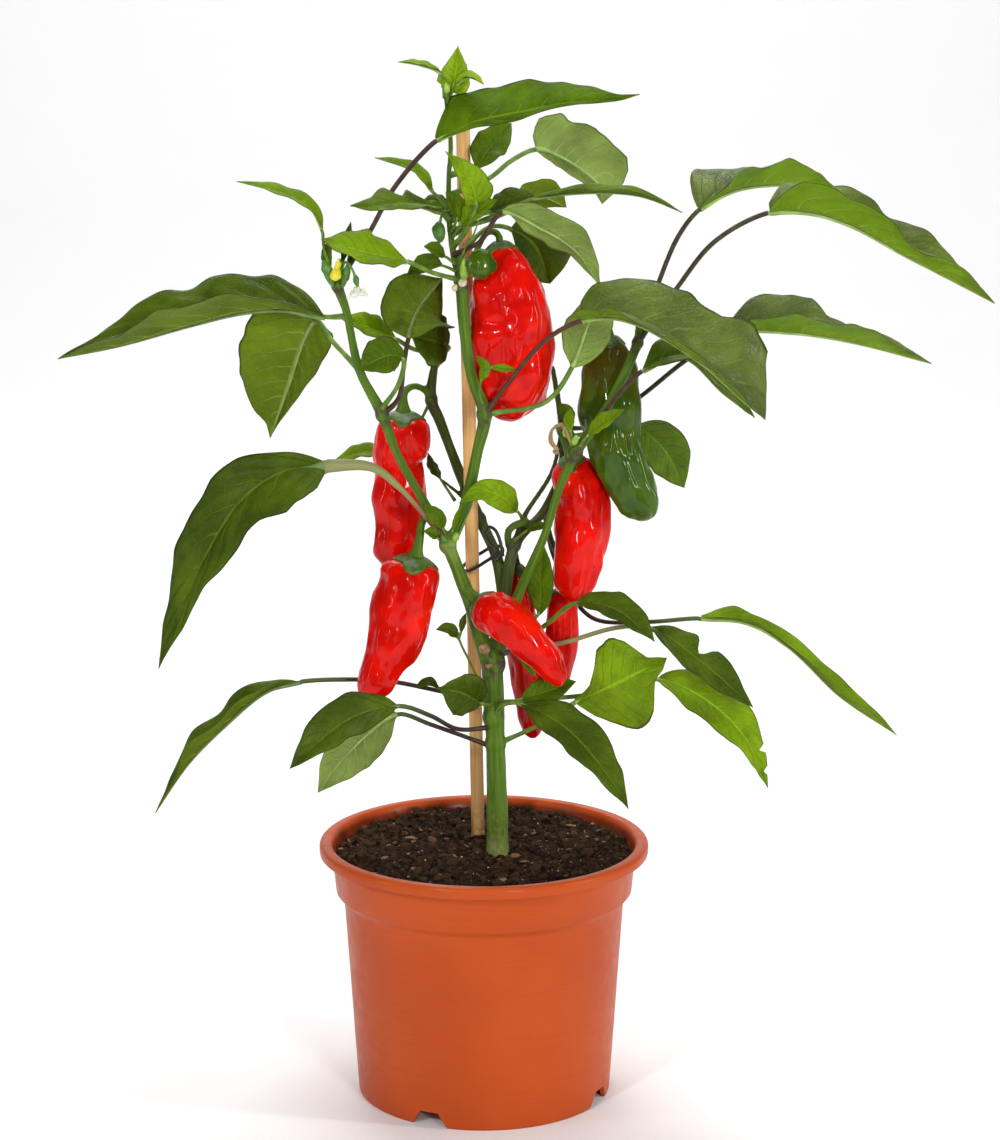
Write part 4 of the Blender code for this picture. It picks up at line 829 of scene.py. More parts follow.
def veined(shader, colour, vein, *strengths):
    """The colour with each set of veins over it, as strongly as given."""
    for marks, strength in strengths:
        colour = shader.mix(shader.times(marks, strength), colour, vein)
    return colour


def leaf_top(tone):
    """A leaf's upper side: glossy, mottled, with sunken veins a little lighter than the blade."""
    shader = Shader(f"leaf_{tone}_top")
    base, _, gloss = LEAF_COLOURS[tone]
    out, midrib, side_veins, fine = leaf_veins(shader)
    light = tinted(base, 1.75, (0.010, 0.012, 0.001))
    vein = tinted(base, 2.6, (0.03, 0.03, 0.010))
    colour = shader.mottle(base, light, 26, 3, 0.35, 0.7)
    colour = shader.mottle(colour, tinted(base, 0.62), 7, 4, 0.5, 0.8, 0.0, 0.5)
    colour = veined(shader, colour, vein, (fine, 0.14), (side_veins, 0.55), (midrib, 0.75))
    colour = shader.mix(shader.ease(out, 0.93, 0.99, 0.0, 0.85), colour, (0.016, 0.020, 0.006))
    height = shader.plus(shader.times(side_veins, -1.0), shader.times(fine, -0.35))
    height = shader.plus(height, shader.times(midrib, -0.6))
    height = shader.plus(height, shader.times(shader.noise(1.6, 2), 0.12))
    return shader.finish(colour, shader.patches(9, 3, 0.3, 0.7, 0.34, 0.48),
                         shader.bump(height, 0.35), Specular_IOR_Level=gloss)


def leaf_under(tone):
    """A leaf's underside: paler and matt, its colour partly a painted glow of light shining
    through, with raised pale veins.
    """
    shader = Shader(f"leaf_{tone}_under")
    # the underside colour: the real paler tone, brightened with a painted glow of light shining
    # through
    base = LEAF_COLOURS[tone][1]
    out, midrib, side_veins, fine = leaf_veins(shader)
    vein, strength = (0.34, 0.44, 0.09), 0.5
    if tone == "sage":
        vein, strength = (0.44, 0.54, 0.24), 0.8
    colour = shader.mottle(base, tinted(base, 0.66), 22, 3, 0.35, 0.7)
    colour = veined(shader, colour, vein, (fine, 0.12), (side_veins, strength), (midrib, 0.8))
    colour = shader.mix(shader.ease(out, 0.945, 0.99, 0.0, 0.75), colour, (0.024, 0.030, 0.007))
    height = shader.plus(shader.times(side_veins, 1.0), shader.times(fine, 0.4))
    return shader.finish(colour, 0.55, shader.bump(height, 0.4), Specular_IOR_Level=0.08)


def petiole_material(kind):
    """A leaf stalk's skin, in two shades; some turn from purple at the stem to green."""
    shader = Shader(f"petiole_{kind}")
    first, second, *turn = PETIOLE_COLOURS[kind]
    colour = shader.mottle(first, second, 5, 3, 0.4, 0.7)
    if turn:
        start, far = turn
        colour = shader.mix(shader.ease(shader.leaf_places()[0], start, start + 0.4), colour, far)
    return shader.finish(colour, 0.42, shader.bump(shader.noise(1.2, 2), 0.12),
                         Specular_IOR_Level=0.3)


def midrib_material(tone):
    """The raised pale midrib under a leaf."""
    shader = Shader(f"midrib_{tone}")
    pale = {"dark": (0.15, 0.24, 0.06), "mid": (0.22, 0.34, 0.08)}.get(tone, (0.30, 0.45, 0.10))
    colour = shader.mottle(pale, tinted(pale, 0.75), 8, 2, 0.4, 0.6)
    return shader.finish(colour, 0.5, shader.bump(shader.noise(1.0, 2), 0.08))


def stem_material():
    """Green skin with lengthwise streaks, purple at the joints, corky and pale at the foot."""
    shader = Shader("stem_skin")
    streak = shader.attribute("streak", "Vector")
    lines = shader.noise(1.3, 3, places=streak)
    broad = shader.noise(5, 2, places=streak)
    colour = shader.mix(shader.ease(lines, 0.35, 0.65), (0.050, 0.106, 0.004),
                        (0.092, 0.176, 0.008))
    colour = shader.mix(shader.ease(broad, 0.5, 0.75, 0.0, 0.5), colour, (0.14, 0.26, 0.018))
    # painted shade: the branches and stalks at the back darkened towards dark olive
    colour = shader.mix(shader.attribute("rear_painted_shade"), colour, (0.036, 0.038, 0.011))
    colour = shader.mix(shader.attribute("pale"), colour, (0.22, 0.30, 0.06))
    stain = shader.times(shader.attribute("joint"), shader.patches(4, 3, 0.38, 0.6))
    colour = shader.mix(shader.times(stain, 0.8), colour, (0.055, 0.02, 0.035))
    cork = shader.mottle((0.22, 0.21, 0.08), (0.12, 0.15, 0.035), 2, 4, 0.4, 0.6)
    corky = shader.times(shader.attribute("foot"), shader.patches(3, 4, 0.3, 0.6))
    colour = shader.mix(corky, colour, cork)
    normal = shader.bump(shader.noise(0.8, 3), 0.08, under=shader.bump(lines, 0.35))
    return shader.finish(colour, shader.patches(4, 2, 0.3, 0.7, 0.38, 0.55), normal,
                         Specular_IOR_Level=0.2)


def fruit_material(kind):
    """Taut waxy skin under a clear gloss, with faint streaks, specks and shallow creases."""
    shader = Shader(f"{kind}_skin")
    if kind == "red":
        base, dark, warm = (0.70, 0.004, 0.0005), (0.50, 0.002, 0.0005), (0.76, 0.010, 0.001)
    else:
        base, dark, warm = (0.058, 0.118, 0.004), (0.032, 0.072, 0.003), (0.080, 0.110, 0.005)
    colour = shader.mottle(base, dark, 14, 3, 0.35, 0.65)
    colour = shader.mottle(colour, warm, 22, 2, 0.52, 0.75)
    if kind == "green":
        uneven = shader.times(shader.minus(shader.noise(16, 2), 0.5), 0.5)
        ripe = shader.plus(shader.attribute("along"), uneven)
        colour = shader.mix(shader.ease(ripe, 0.06, 0.36, 0.75, 0.0), colour, (0.090, 0.058, 0.006))
    specks = shader.ease(shader.cells(2.2, "F1"), 0.0, 0.14, 0.12, 0.0)
    colour = shader.mix(specks, colour, tinted(base, 1.4, (0.01, 0.01, 0.01)))
    normal = shader.bump(shader.noise(6.5, 1.5, distortion=0.4), 0.5, 0.6)
    creases = shader.noise(3.0, 2, places=shader.scaled((1.0, 1.0, 0.42)), distortion=0.6)
    normal = shader.bump(creases, 0.34, 0.7, under=normal)
    return shader.finish(colour, 0.27, normal, Coat_Weight=0.34 if kind == "red" else 0.5,
                         Coat_Roughness=0.03, Specular_IOR_Level=0.04)


def pot_material():
    """Terracotta-coloured moulded plastic: fine mould texture, a little dust, and an inside
    darkened by painted shade and soil stains.
    """
    shader = Shader("pot_moulded_plastic")
    orange, light, deep = (0.44, 0.062, 0.008), (0.50, 0.076, 0.011), (0.34, 0.043, 0.005)
    colour = shader.mottle(orange, light, 60, 2, 0.35, 0.7, 0.0, 0.7)
    lines = shader.noise(2.0, 3, places=shader.scaled((0.06, 0.06, 1.0)))
    colour = shader.mix(shader.ease(lines, 0.5, 0.8, 0.0, 0.25), colour, deep)
    dirt = shader.times(shader.patches(18, 4, 0.55, 0.75), shader.patches(2.5, 4, 0.45, 0.7))
    colour = shader.mix(shader.times(dirt, 0.22), colour, (0.30, 0.12, 0.05))
    shade_and_stain = shader.times(shader.attribute("inside"), shader.patches(9, 4, 0.2, 0.7, 1.0, 0.72))
    # painted shade and soil stains: the inner wall darkened in patches to red-brown
    colour = shader.mix(shade_and_stain, colour, (0.15, 0.024, 0.007))
    normal = shader.bump(lines, 0.05, under=shader.bump(shader.noise(0.55, 2), 0.03))
    return shader.finish(colour, shader.patches(8, 3, 0.3, 0.7, 0.36, 0.5), normal,
                         Specular_IOR_Level=0.1, Coat_Weight=0.12, Coat_Roughness=0.2)


def soil_material(kind, dark, light):
    """Dark moist peat, or the lighter bits in it."""
    shader = Shader(f"soil_{kind}")
    colour = shader.mix(shader.ease(shader.attribute("shade"), 0.0, 1.0), dark, light)
    colour = shader.mottle(colour, light, 1.2, 4, 0.45, 0.7, 0.0, 0.6)
    return shader.finish(colour, 0.9, shader.bump(shader.noise(0.7, 4, 0.7), 0.5),
                         Specular_IOR_Level=0.12)


def stake_material():
    """Turned softwood: fine grain along the dowel, a little darker where it meets the soil."""
    shader = Shader("stake_softwood")
    grain = shader.noise(1.1, 4, 0.6, places=shader.scaled((1.0, 1.0, 0.02)))
    bands = shader.noise(3.0, 2, places=shader.scaled((1.0, 1.0, 0.01)))
    colour = shader.mix(shader.ease(grain, 0.4, 0.68), (0.76, 0.43, 0.16), (0.62, 0.32, 0.10))
    colour = shader.mix(shader.ease(bands, 0.45, 0.7, 0.0, 0.6), colour, (0.84, 0.52, 0.22))
    low = shader.ease(shader.split(shader.places)[2], 0.128, 0.150, 1.0, 0.0)
    damp = shader.times(low, shader.patches(4, 3, 0.35, 0.6))
    colour = shader.mix(shader.times(damp, 0.7), colour, (0.12, 0.07, 0.035))
    return shader.finish(colour, 0.55, shader.bump(grain, 0.08), Specular_IOR_Level=0.25)


def wire_material():
    """Black plastic-coated wire."""
    shader = Shader("wire_coating")
    colour = shader.mix(shader.noise(3, 2), (0.008, 0.008, 0.009), (0.03, 0.028, 0.03))
    return shader.finish(colour, 0.35, shader.bump(shader.noise(1, 2), 0.05))


def calyx_material():
    """The fruit's green cap."""
    shader = Shader("calyx_skin")
    colour = shader.mottle((0.030, 0.075, 0.004), (0.075, 0.150, 0.012), 3, 3, 0.35, 0.7)
    return shader.finish(colour, 0.4, shader.bump(shader.noise(1.8, 3), 0.25))


def plain_material(name, colour, spread, roughness, size=3):
    """A simple mottled skin, for buds and petals."""
    shader = Shader(name)
    mottled = shader.mottle(colour, tinted(colour, 1 + spread), size, 3, 0.35, 0.65)
    return shader.finish(mottled, roughness, shader.bump(shader.noise(size / 2, 2), 0.1))


# ---------------------------------------------------------------- leaves

BLADE_HALF_THICKNESS = 0.16
LEAF_WAVES = 3.2
RIB_SIDES = 8
# A slimmer blade has a thinner petiole, and one of the full width or more its full unevenness.
SLIM_WIDTH = 16
FULL_WIDTH = 40
EDGE_RAGGEDNESS = 0.022
SCALLOPS = 0.02


def blade_share(t, swell=0.85, taper=1.05):
    """Half the blade's width at t, from 0 at the neck to 1 at the tip, as a share of its widest."""
    widest = swell / (swell + taper)
    return (t / widest) ** swell * ((1 - t) / (1 - widest)) ** taper


def facing(t, face, tip_face, direction):
    """The way the upper side looks at each t, square to the direction there."""
    looks = np.outer(1 - t, face) + np.outer(t, tip_face)
    return unit(looks - direction * (looks * direction).sum(-1, keepdims=True))


def blade_sheet(name, centre, right, normal, t, v, width, fold, style):
    """The blade's middle surface, row by row: its outline, its fold and its unevenness."""
    dice = np.random.default_rng(seed_of(name))
    size = min(1.0, width / FULL_WIDTH)
    reach = width / 2 * blade_share(t, style.get("swell", 0.85), style.get("taper", 1.05))
    reach = np.maximum(reach, np.interp(t, [0, 0.04, 0.97, 1], [0.9, 1.2, 0.5, 0.12]))[:, None]
    side, out, tt = np.sign(v)[None, :], np.abs(v)[None, :], t[:, None]
    if "outline" in style:
        lower, upper = (width / 2 * np.interp(t, *shape)[:, None] for shape in style["outline"])
        reach = np.maximum(np.where(side < 0, lower, upper), 0.12)
    # the edge waves in and out a little, and each side on its own
    turns = tt * dice.uniform(4, 6) + side * dice.uniform(0.1, 0.4) + dice.uniform()
    edge = 1 + EDGE_RAGGEDNESS * np.sin(2 * math.pi * turns) * out
    for cut_side, cut_t, cut_long, cut_deep in style.get("cuts", ()):
        bite = cut_deep * np.exp(-((tt - cut_t) / cut_long) ** 2)
        edge = edge * (1 - bite * (side == cut_side) * out ** 0.5)
    w = reach * edge
    slope = math.radians(fold) * np.interp(t, [0, 0.15, 0.8, 1], [1.1, 1, 1, 0.8])[:, None]
    x = w * v[None, :] * np.cos(slope)
    z = w * np.sin(slope) * out ** 0.78
    # the blade bulges between its side veins, ruffles towards its edge and sinks at its midrib
    phase = 2 * math.pi * (VEIN_PAIRS * (tt - VEIN_SLANT * out ** VEIN_CURVE) + VEIN_SHIFT * side)
    fade = np.clip(np.minimum(tt, 1 - tt) * 8, 0, 1)
    quilt = (0.5 - 0.5 * np.cos(phase)) * np.sin(math.pi * np.clip(out, 0, 1)) ** 0.7
    z = z + style.get("quilt", 1.35) * size * quilt * fade
    wave = np.sin(2 * math.pi * (tt * LEAF_WAVES + side * dice.uniform(0.05, 0.3) + dice.uniform()))
    z = z + style.get("ruffle", 0.085) * w * out ** 2 * wave * fade
    z = z + SCALLOPS * size * w * out ** 3 * np.cos(phase) * fade
    z = z - 0.45 * size * np.exp(-(x / 0.9) ** 2)

    def placed(z):
        return centre[:, None] + right[:, None] * x[..., None] + normal[:, None] * z[..., None]

    drift = ripple(placed(z).reshape(-1, 3), 38, seed_of(name) + 1).reshape(z.shape)
    return placed(z + style.get("drift", 0.9) * size * drift * out * fade)


def leaf_rib(curve, base, span, width, face, tip_face, style):
    """The petiole, which runs on as the midrib, as one tapering tube: its points and stations."""
    steps = np.concatenate([np.arange(0, base, 2.5), base + np.linspace(0, 0.96, 30) * span])
    point, ahead = resample(curve, steps)
    share = np.clip((steps - base) / span, 0, 1)
    thick = style.get("petiole", 1.25)
    stalk = np.interp(steps, [0, 4, 12, max(base, 13)],
                      [thick * 1.55, thick * 1.25, thick * 0.95, thick])
    radius = np.where(steps < base, stalk,
                      np.interp(share, [0, 0.15, 0.6, 1], [thick, 0.85, 0.45, 0.12]))
    if width < SLIM_WIDTH:
        radius = radius * 0.65
    if "wing" in style:
        radius = radius * np.interp(steps / base, [0.45, 1.0, 1.2], [1.0, style["wing"], 1.0])
    up = facing(share, face, tip_face, ahead)
    sink = np.interp(share, [0, 0.08, 1], [0.2, 0.9, 0.9]) * radius
    sink = sink + 0.45 * min(1.0, width / FULL_WIDTH)
    middle = point - up * np.where(steps < base, 0, sink)[:, None]
    return rings_round(middle, np.cross(ahead, up), up, radius, RIB_SIDES), steps


def leaf(name, route, neck, width, face, tip_face, fold, materials, nodes=(), **style):
    """One leaf: a petiole that runs on as the midrib, and a thin quilted blade."""
    curve = smooth_curve(route)
    marks = lengths(curve)
    base = marks[neck * PER_SPAN]
    span = marks[-1] - base
    rows = int(np.clip(span / 2.0, 20, 64))
    half = int(np.clip(width / 4.0, 5, 11))
    columns = 2 * half + 1
    t = np.linspace(0, 1, rows) ** 1.05
    v = np.linspace(-1, 1, columns)
    v = np.sign(v) * np.abs(v) ** 1.1
    centre, direction = resample(curve, base + t * span)
    normal = facing(t, face, tip_face, direction)
    flat = blade_sheet(name, centre, np.cross(direction, normal), normal, t, v, width, fold, style)
    # the sheet's own normals give the blade its thickness
    lift = unit(np.cross(np.gradient(flat, axis=0), np.gradient(flat, axis=1)) + 1e-9)
    lift = lift * np.sign((lift * normal[:, None, :]).sum())
    thick = BLADE_HALF_THICKNESS * np.interp(np.abs(v), [0, 0.9, 1], [1.3, 1, 0.55])[None, :, None]
    top, under = (flat + lift * thick).reshape(-1, 3), (flat - lift * thick).reshape(-1, 3)
    rib, steps = leaf_rib(curve, base, span, width, face, tip_face, style)
    upper, lower, rim = sheet_faces(rows, columns)
    faces = upper + lower + rim + tube_faces(len(steps), RIB_SIDES, 2 * len(top))
    mesh = mesh_from(name, np.concatenate([top, under, rib]), faces)
    # materials: 0 above, 1 below and at the rim, 2 on the petiole, 3 on the midrib
    skins = [0] * len(upper) + [1] * (len(lower) + len(rim))
    skins += [2 if steps[i // RIB_SIDES] < base - 1 else 3
              for i in range(RIB_SIDES * (len(steps) - 1))]
    mesh.polygons.foreach_set("material_index", np.array(skins + [2, 3], np.int32))
    uv = np.stack(np.broadcast_arrays(t[:, None], (v[None, :] + 1) / 2), -1).reshape(-1, 2)
    rib_uv = np.stack([np.clip(steps / max(base, 1), 0, 1), np.full(len(steps), 0.5)], 1)
    uvs = np.concatenate([uv, uv, np.repeat(rib_uv, RIB_SIDES, 0)]).astype(np.float32)
    corner = np.empty(len(mesh.loops), np.int32)
    mesh.loops.foreach_get("vertex_index", corner)
    mesh.uv_layers.new(name="Leaf").data.foreach_set("uv", uvs[corner].ravel())
    piece(name, mesh, materials, "leaf", *nodes)


def snap(route, axes):
    """The route with its first point on the nearest branch's middle line."""
    root = axes[np.argmin(np.linalg.norm(axes - route[0], axis=1))]
    return [root, *route[1:]]


def make_leaves():
    """Every leaf and leaflet in the tables, dressed in its own tone."""
    routes = [*BRANCHES.values()] + [stalk_route(name) for name in FRUITS]
    axes = np.concatenate([smooth_curve(route, 24) for route, _ in routes])
    tops, unders, ribs = ({tone: make(tone) for tone in LEAF_COLOURS}
                          for make in (leaf_top, leaf_under, midrib_material))
    petioles = {kind: petiole_material(kind) for kind in PETIOLE_COLOURS}
    for table in (LEAVES, LEAFLETS):
        for name, row in table.items():
            tone, petiole, neck, width, face, tip_face, fold, route, *style = row
            materials = [tops[tone], unders[tone], petioles[petiole], ribs[tone]]
            if table is LEAVES:
                leaf(name + "_leaf", snap(route, axes), neck, width, face, tip_face, fold,
                     materials, ["leaf_" + name], **(style[0] if style else {}))
            else:
                leaf("leaflet_" + name, route, neck, width, face, tip_face, fold, materials,
                     petiole=1.0)


# ---------------------------------------------------------------- fruits

FRUIT_COLUMNS = 104
CALYX_ROWS, CALYX_COLUMNS = 14, 80
# The shoulder's height as a share of the fruit's second radius.
SHOULDER = 0.42
# Thinner fruits have shallower wrinkles and a thinner calyx, in proportion.
TYPICAL_RADIUS = 15


def fruit_line(name):
    """The fruit's middle line, run on to the end of its rounded tip, its length and the tip's."""
    points, radii = FRUITS[name][:2]
    axis = smooth_curve(points)
    tail = radii[-1] * 0.55
    axis = np.concatenate([axis, [axis[-1] + unit(axis[-1] - axis[-4]) * tail]])
    return axis, lengths(axis)[-1], tail


def fruit_surface(name, t, angle):
    """The fruit's surface at t along it, 0 at the calyx, and at the angle round it, row by row."""
    points, radii, _, _, lobes, turn, depth, dents = FRUITS[name]
    axis, total, tail = fruit_line(name)
    # the radius along the fruit, smoothed, then closed at the tip and at the shoulder
    even = np.linspace(0, total, 90)
    knots = [*lengths(smooth_curve(points))[::PER_SPAN], total]
    smooth = np.interp(even, knots, [*radii, radii[-1] * 0.9])
    kernel = np.hanning(11)
    smooth = np.convolve(np.pad(smooth, 5, "edge"), kernel / kernel.sum(), "valid")
    centre, direction = resample(axis, t * total)
    radius = np.interp(t * total, even, smooth)
    tip = np.clip((1 - t) * total / (tail + radii[-1] * 0.5), 0, 1)
    shoulder = np.clip(t * total / (radii[1] * SHOULDER), 0, 1)
    radius = radius * np.sqrt(1 - (1 - tip) ** 2) * (0.3 + 0.7 * np.sqrt(1 - (1 - shoulder) ** 2))
    side = unit(np.cross(direction, (0, 1, 0)))
    front = np.cross(side, direction)
    angle, t = angle[None, :], t[:, None]
    # lobes with narrow furrows between them, then the fruit's own dents
    furrow = np.cos(lobes * (angle + turn) + 0.7 * t)
    body = np.interp(t, [0, 0.12, 0.5, 1], [1.3, 1.0, 0.8, 1.2])
    ring = radius[:, None] * (1 + depth * body * (furrow - 0.35 * (1 - furrow ** 2)))
    for spot, way, long, wide, deep in dents:
        off = (angle - way + math.pi) % (2 * math.pi) - math.pi
        ring = ring - deep * np.exp(-((t - spot) / long) ** 2 - (off / wide) ** 2)
    ring = np.maximum(ring, 0.2 * radius[:, None])
    outward = side[:, None] * np.cos(angle)[..., None] + front[:, None] * np.sin(angle)[..., None]
    places = centre[:, None] + ring[..., None] * outward
    # wrinkles, drawn out along the fruit
    flat, seed = places.reshape(-1, 3), seed_of(name)
    drawn = flat * (1, 1, 0.5)
    rough = (0.6 * ripple(flat, 24, seed) + 0.30 * ripple(drawn, 9, seed + 1)
             + 0.12 * ripple(drawn, 4.5, seed + 2))
    fade = np.clip(np.minimum(t / 0.08, (1 - t) / 0.05), 0, 1)
    fade = fade * min(1.0, max(radii) / TYPICAL_RADIUS)
    return places + outward * (rough.reshape(fade.shape[0], -1) * fade)[..., None]


def fruit(name, material):
    """One fruit, from its shoulder to its closed tip, with closer rows at both ends."""
    eased = 0.5 - 0.5 * np.cos(np.linspace(0, math.pi, 96))
    t = 0.45 * eased + 0.55 * np.linspace(0, 1, 96)
    t = np.unique(np.concatenate([np.linspace(0, 0.08, 12), t, np.linspace(0.94, 1, 10)]))
    grid = fruit_surface(name, t, circle(FRUIT_COLUMNS))
    mesh = mesh_from(name, grid.reshape(-1, 3), tube_faces(len(t), FRUIT_COLUMNS))
    give(mesh, "along", np.repeat(t, FRUIT_COLUMNS))
    slot = "green_fruit" if FRUITS[name][3] == "green" else "red_fruit"
    piece(name.replace("pepper", "fruit"), mesh, [material], slot, name)


def calyx(name, material):
    """The green cap on a fruit's shoulder: a few pointed lobes that hug the skin."""
    angle = circle(CALYX_COLUMNS)
    points, radii = FRUITS[name][:2]
    teeth = np.maximum(0, np.cos(2.5 * angle + seed_of(name))) ** 1.5
    reach = radii[1] * SHOULDER / fruit_line(name)[1] * (0.30 + 0.62 * teeth)
    if name in FLARES:
        reach = reach * (0.75 if name == "pepper_top" else 1.5)
    share = np.linspace(0, 1, CALYX_ROWS)
    over = np.array([[fruit_surface(name, np.array([reach[j] * s ** 1.3 + 1e-4]),
                                    angle[j:j + 1])[0, 0] for j in range(CALYX_COLUMNS)]
                     for s in share])
    axis = smooth_curve(points)
    outward = unit(over - (axis[0] + unit(axis[3] - axis[0]) * radii[1] * 0.7))
    big = min(1.0, max(radii) / TYPICAL_RADIUS)
    lift = (np.interp(share, [0, 0.4, 0.9, 1], [1.9, 1.2, 0.75, 0.1]) * big)[:, None, None]
    points = np.concatenate([(over + outward * lift).reshape(-1, 3),
                             (over - outward * 0.3).reshape(-1, 3)])
    count = CALYX_ROWS * CALYX_COLUMNS
    faces = grid_faces(CALYX_ROWS, CALYX_COLUMNS, True)
    faces += [tuple(i + count for i in face[::-1]) for face in faces]
    last = count - CALYX_COLUMNS
    for j in range(CALYX_COLUMNS):
        k = (j + 1) % CALYX_COLUMNS
        faces.append((last + j, last + k, last + k + count, last + j + count))
        faces.append((j + count, k + count, k, j))
    mesh = mesh_from(name + "_cap", points, faces)
    piece(name.replace("pepper", "calyx"), mesh, [material], "green_stem")


# ---------------------------------------------------------------- stem, stake, tie

STEM_SIDES = 16
STEM_VOXEL = 0.85
# Heights: the trunk is pale below the first, corky below the second, and joints are stained above
# the third, apart from those near the left fork.
PALE_BELOW, CORKY_BELOW, STAINED_ABOVE = 138, 158, 215
UNSTAINED_REACH = 12


def stalk_route(name):
    """A fruit's stalk: its route and radii, thicker towards the fruit."""
    points, fruit_radii, stalk = FRUITS[name][:3]
    axis = smooth_curve(points)
    start, direction = axis[0], unit(axis[2] - axis[0])
    flare = FLARES.get(name, min(fruit_radii[0], 9) * 0.62)
    route = [*stalk, start - direction * flare * 1.9, start - direction * flare * 0.8,
             start + direction * 1.2]
    plain = 2.0 if name == "pepper_rear" else 1.3 + 0.1 * flare
    return route, [plain] * len(stalk) + [1.4 + 0.16 * flare, 0.6 + 0.42 * flare, flare]


def stem_mesh(routes):
    """Every branch, stalk and swelling melted together, and the branches' samples: each one's
    place, direction, distance along, and how much painted shade darkens it."""
    parts, samples = [], []
    for name, (route, radii) in routes.items():
        curve = smooth_curve(route)
        marks = lengths(curve)
        stations = np.linspace(0, marks[-1], max(4, int(marks[-1] / 2.5)))
        around = np.interp(stations, marks[::PER_SPAN], radii)
        around = around * (1 + 0.03 * ripple(resample(curve, stations)[0], 25, seed_of(name)))
        parts.append(tube(curve, stations, around, STEM_SIDES))
        fine = np.arange(0, marks[-1], 1.0)
        shade = np.full((len(fine), 1), REAR_PAINTED_SHADE.get(name, 0.0))
        marked = [*resample(curve, fine), fine[:, None] + seed_of(name), shade]
        samples.append(np.concatenate(marked, 1))
    for spot, radius in NODES:
        points, faces = ball(3, radius)
        parts.append((points * (1, 1, 1.15) + spot, faces))
    mesh = mesh_from("stem_rough", *join(parts), closed=False)
    mesh = modified(mesh, "REMESH", mode="VOXEL", voxel_size=STEM_VOXEL * MM, use_smooth_shade=True)
    return modified(mesh, "SMOOTH", factor=0.5, iterations=5), np.concatenate(samples)


def make_stem(material):
    """The whole green stem as one skin, with swollen joints."""
    stalks = {"stalk_" + name: stalk_route(name) for name in FRUITS}
    mesh, samples = stem_mesh({**BRANCHES, **stalks})
    spots = coordinates(mesh)
    tree = KDTree(len(samples))
    for index, sample in enumerate(samples):
        tree.insert(tuple(sample[:3]), index)
    tree.balance()
    own = samples[[tree.find(tuple(spot))[1] for spot in spots]]
    # streaks follow the branch: the texture's place is the turn round it and the distance along it
    ahead, offset = own[:, 3:6], spots - own[:, :3]
    side = unit(np.cross(ahead, (0.3, 1.0, 0.1)))
    front = np.cross(side, ahead)
    turn = np.arctan2((offset * front).sum(1), (offset * side).sum(1))
    give(mesh, "streak", np.stack([np.cos(turn) * 4, np.sin(turn) * 4, own[:, 6] * 0.05], 1) * MM)
    # the painted shade of each branch and stalk at the back
    give(mesh, "rear_painted_shade", own[:, 7])
    height = spots[:, 2]
    from_fork = np.linalg.norm(spots - LEFT_NODE, axis=1)
    give(mesh, "pale", np.maximum(0.9 * np.exp(-(from_fork / 8) ** 2),
                                  0.7 * np.clip((PALE_BELOW - height) / 14, 0, 1)))
    joint = np.zeros(len(spots))
    for spot, radius in NODES:
        away = np.linalg.norm(spots - spot, axis=1)
        joint = np.maximum(joint, np.exp(-(np.maximum(away - radius, 0) / 3.0) ** 2))
    give(mesh, "joint", joint * (height > STAINED_ABOVE) * (from_fork > UNSTAINED_REACH))
    give(mesh, "foot", np.clip((CORKY_BELOW - height) / 30, 0, 1))
    mesh.shade_smooth()
    piece("stem_skin", mesh, [material], "green_stem", "stem")


def make_stake(material):
    """A turned dowel with a slightly rounded top."""
    line = np.array([STAKE_FOOT, STAKE_TOP])
    total = np.linalg.norm(line[1] - line[0])
    stations = np.concatenate([np.linspace(0, total - 1.0, 60), [total - 0.6, total - 0.2, total]])
    radius = np.full(len(stations), STAKE_RADIUS)
    radius[-3:] -= (0.12, 0.4, 0.9)
    mesh = mesh_from("stake_wood", *tube(line, stations, radius, 28))
    mesh.set_sharp_from_angle(angle=math.radians(60))
    piece("wood_stake", mesh, [material], "stake_wood", "stake")


def make_tie(material):
    """The coated wire round the stake and the back arm."""
    curve = smooth_curve(TIE_ROUTE)
    stations = np.arange(0, lengths(curve)[-1], 0.8)
    mesh = mesh_from("tie", *tube(curve, stations, np.full(len(stations), TIE_RADIUS), 10))
    piece("coated_wire", mesh, [material], "tie_wire", "wire_tie")


# ---------------------------------------------------------------- pot and soil

POT_SEGMENTS = 160
# The wall inside the pot, darkened with painted shade and soil stains: its radii, and the height
# where it starts.
SHADED_STAINED_WALL = (60, 77.9)
SHADED_STAINED_WALL_FOOT = 111


def notch_tool(azimuth):
    """What is cut out of the pot: a notch in the foot of its wall, and a round drain beside it."""
    cutter = bmesh.new()
    near, far = ([cutter.verts.new((x * MM, y * MM, z * MM)) for y, z in NOTCH_OUTLINE]
                 for x in NOTCH_REACH)
    cutter.faces.new(near)
    cutter.faces.new(far[::-1])
    count = len(NOTCH_OUTLINE)
    for i in range(count):
        k = (i + 1) % count
        cutter.faces.new((near[i], far[i], far[k], near[k]))
    bmesh.ops.create_cone(cutter, cap_ends=True, segments=24, radius1=DRAIN_RADIUS * MM,
                          radius2=DRAIN_RADIUS * MM, depth=6 * MM)
    for vertex in cutter.verts[2 * count:]:
        vertex.co.x += DRAIN_PLACE[0] * MM
        vertex.co.z += DRAIN_PLACE[1] * MM
    bmesh.ops.recalc_face_normals(cutter, faces=cutter.faces)
    mesh = bpy.data.meshes.new("notch")
    cutter.to_mesh(mesh)
    cutter.free()
    tool = show("notch", mesh)
    tool.rotation_euler = (0, 0, math.radians(azimuth))
    bpy.context.view_layer.update()
    return tool


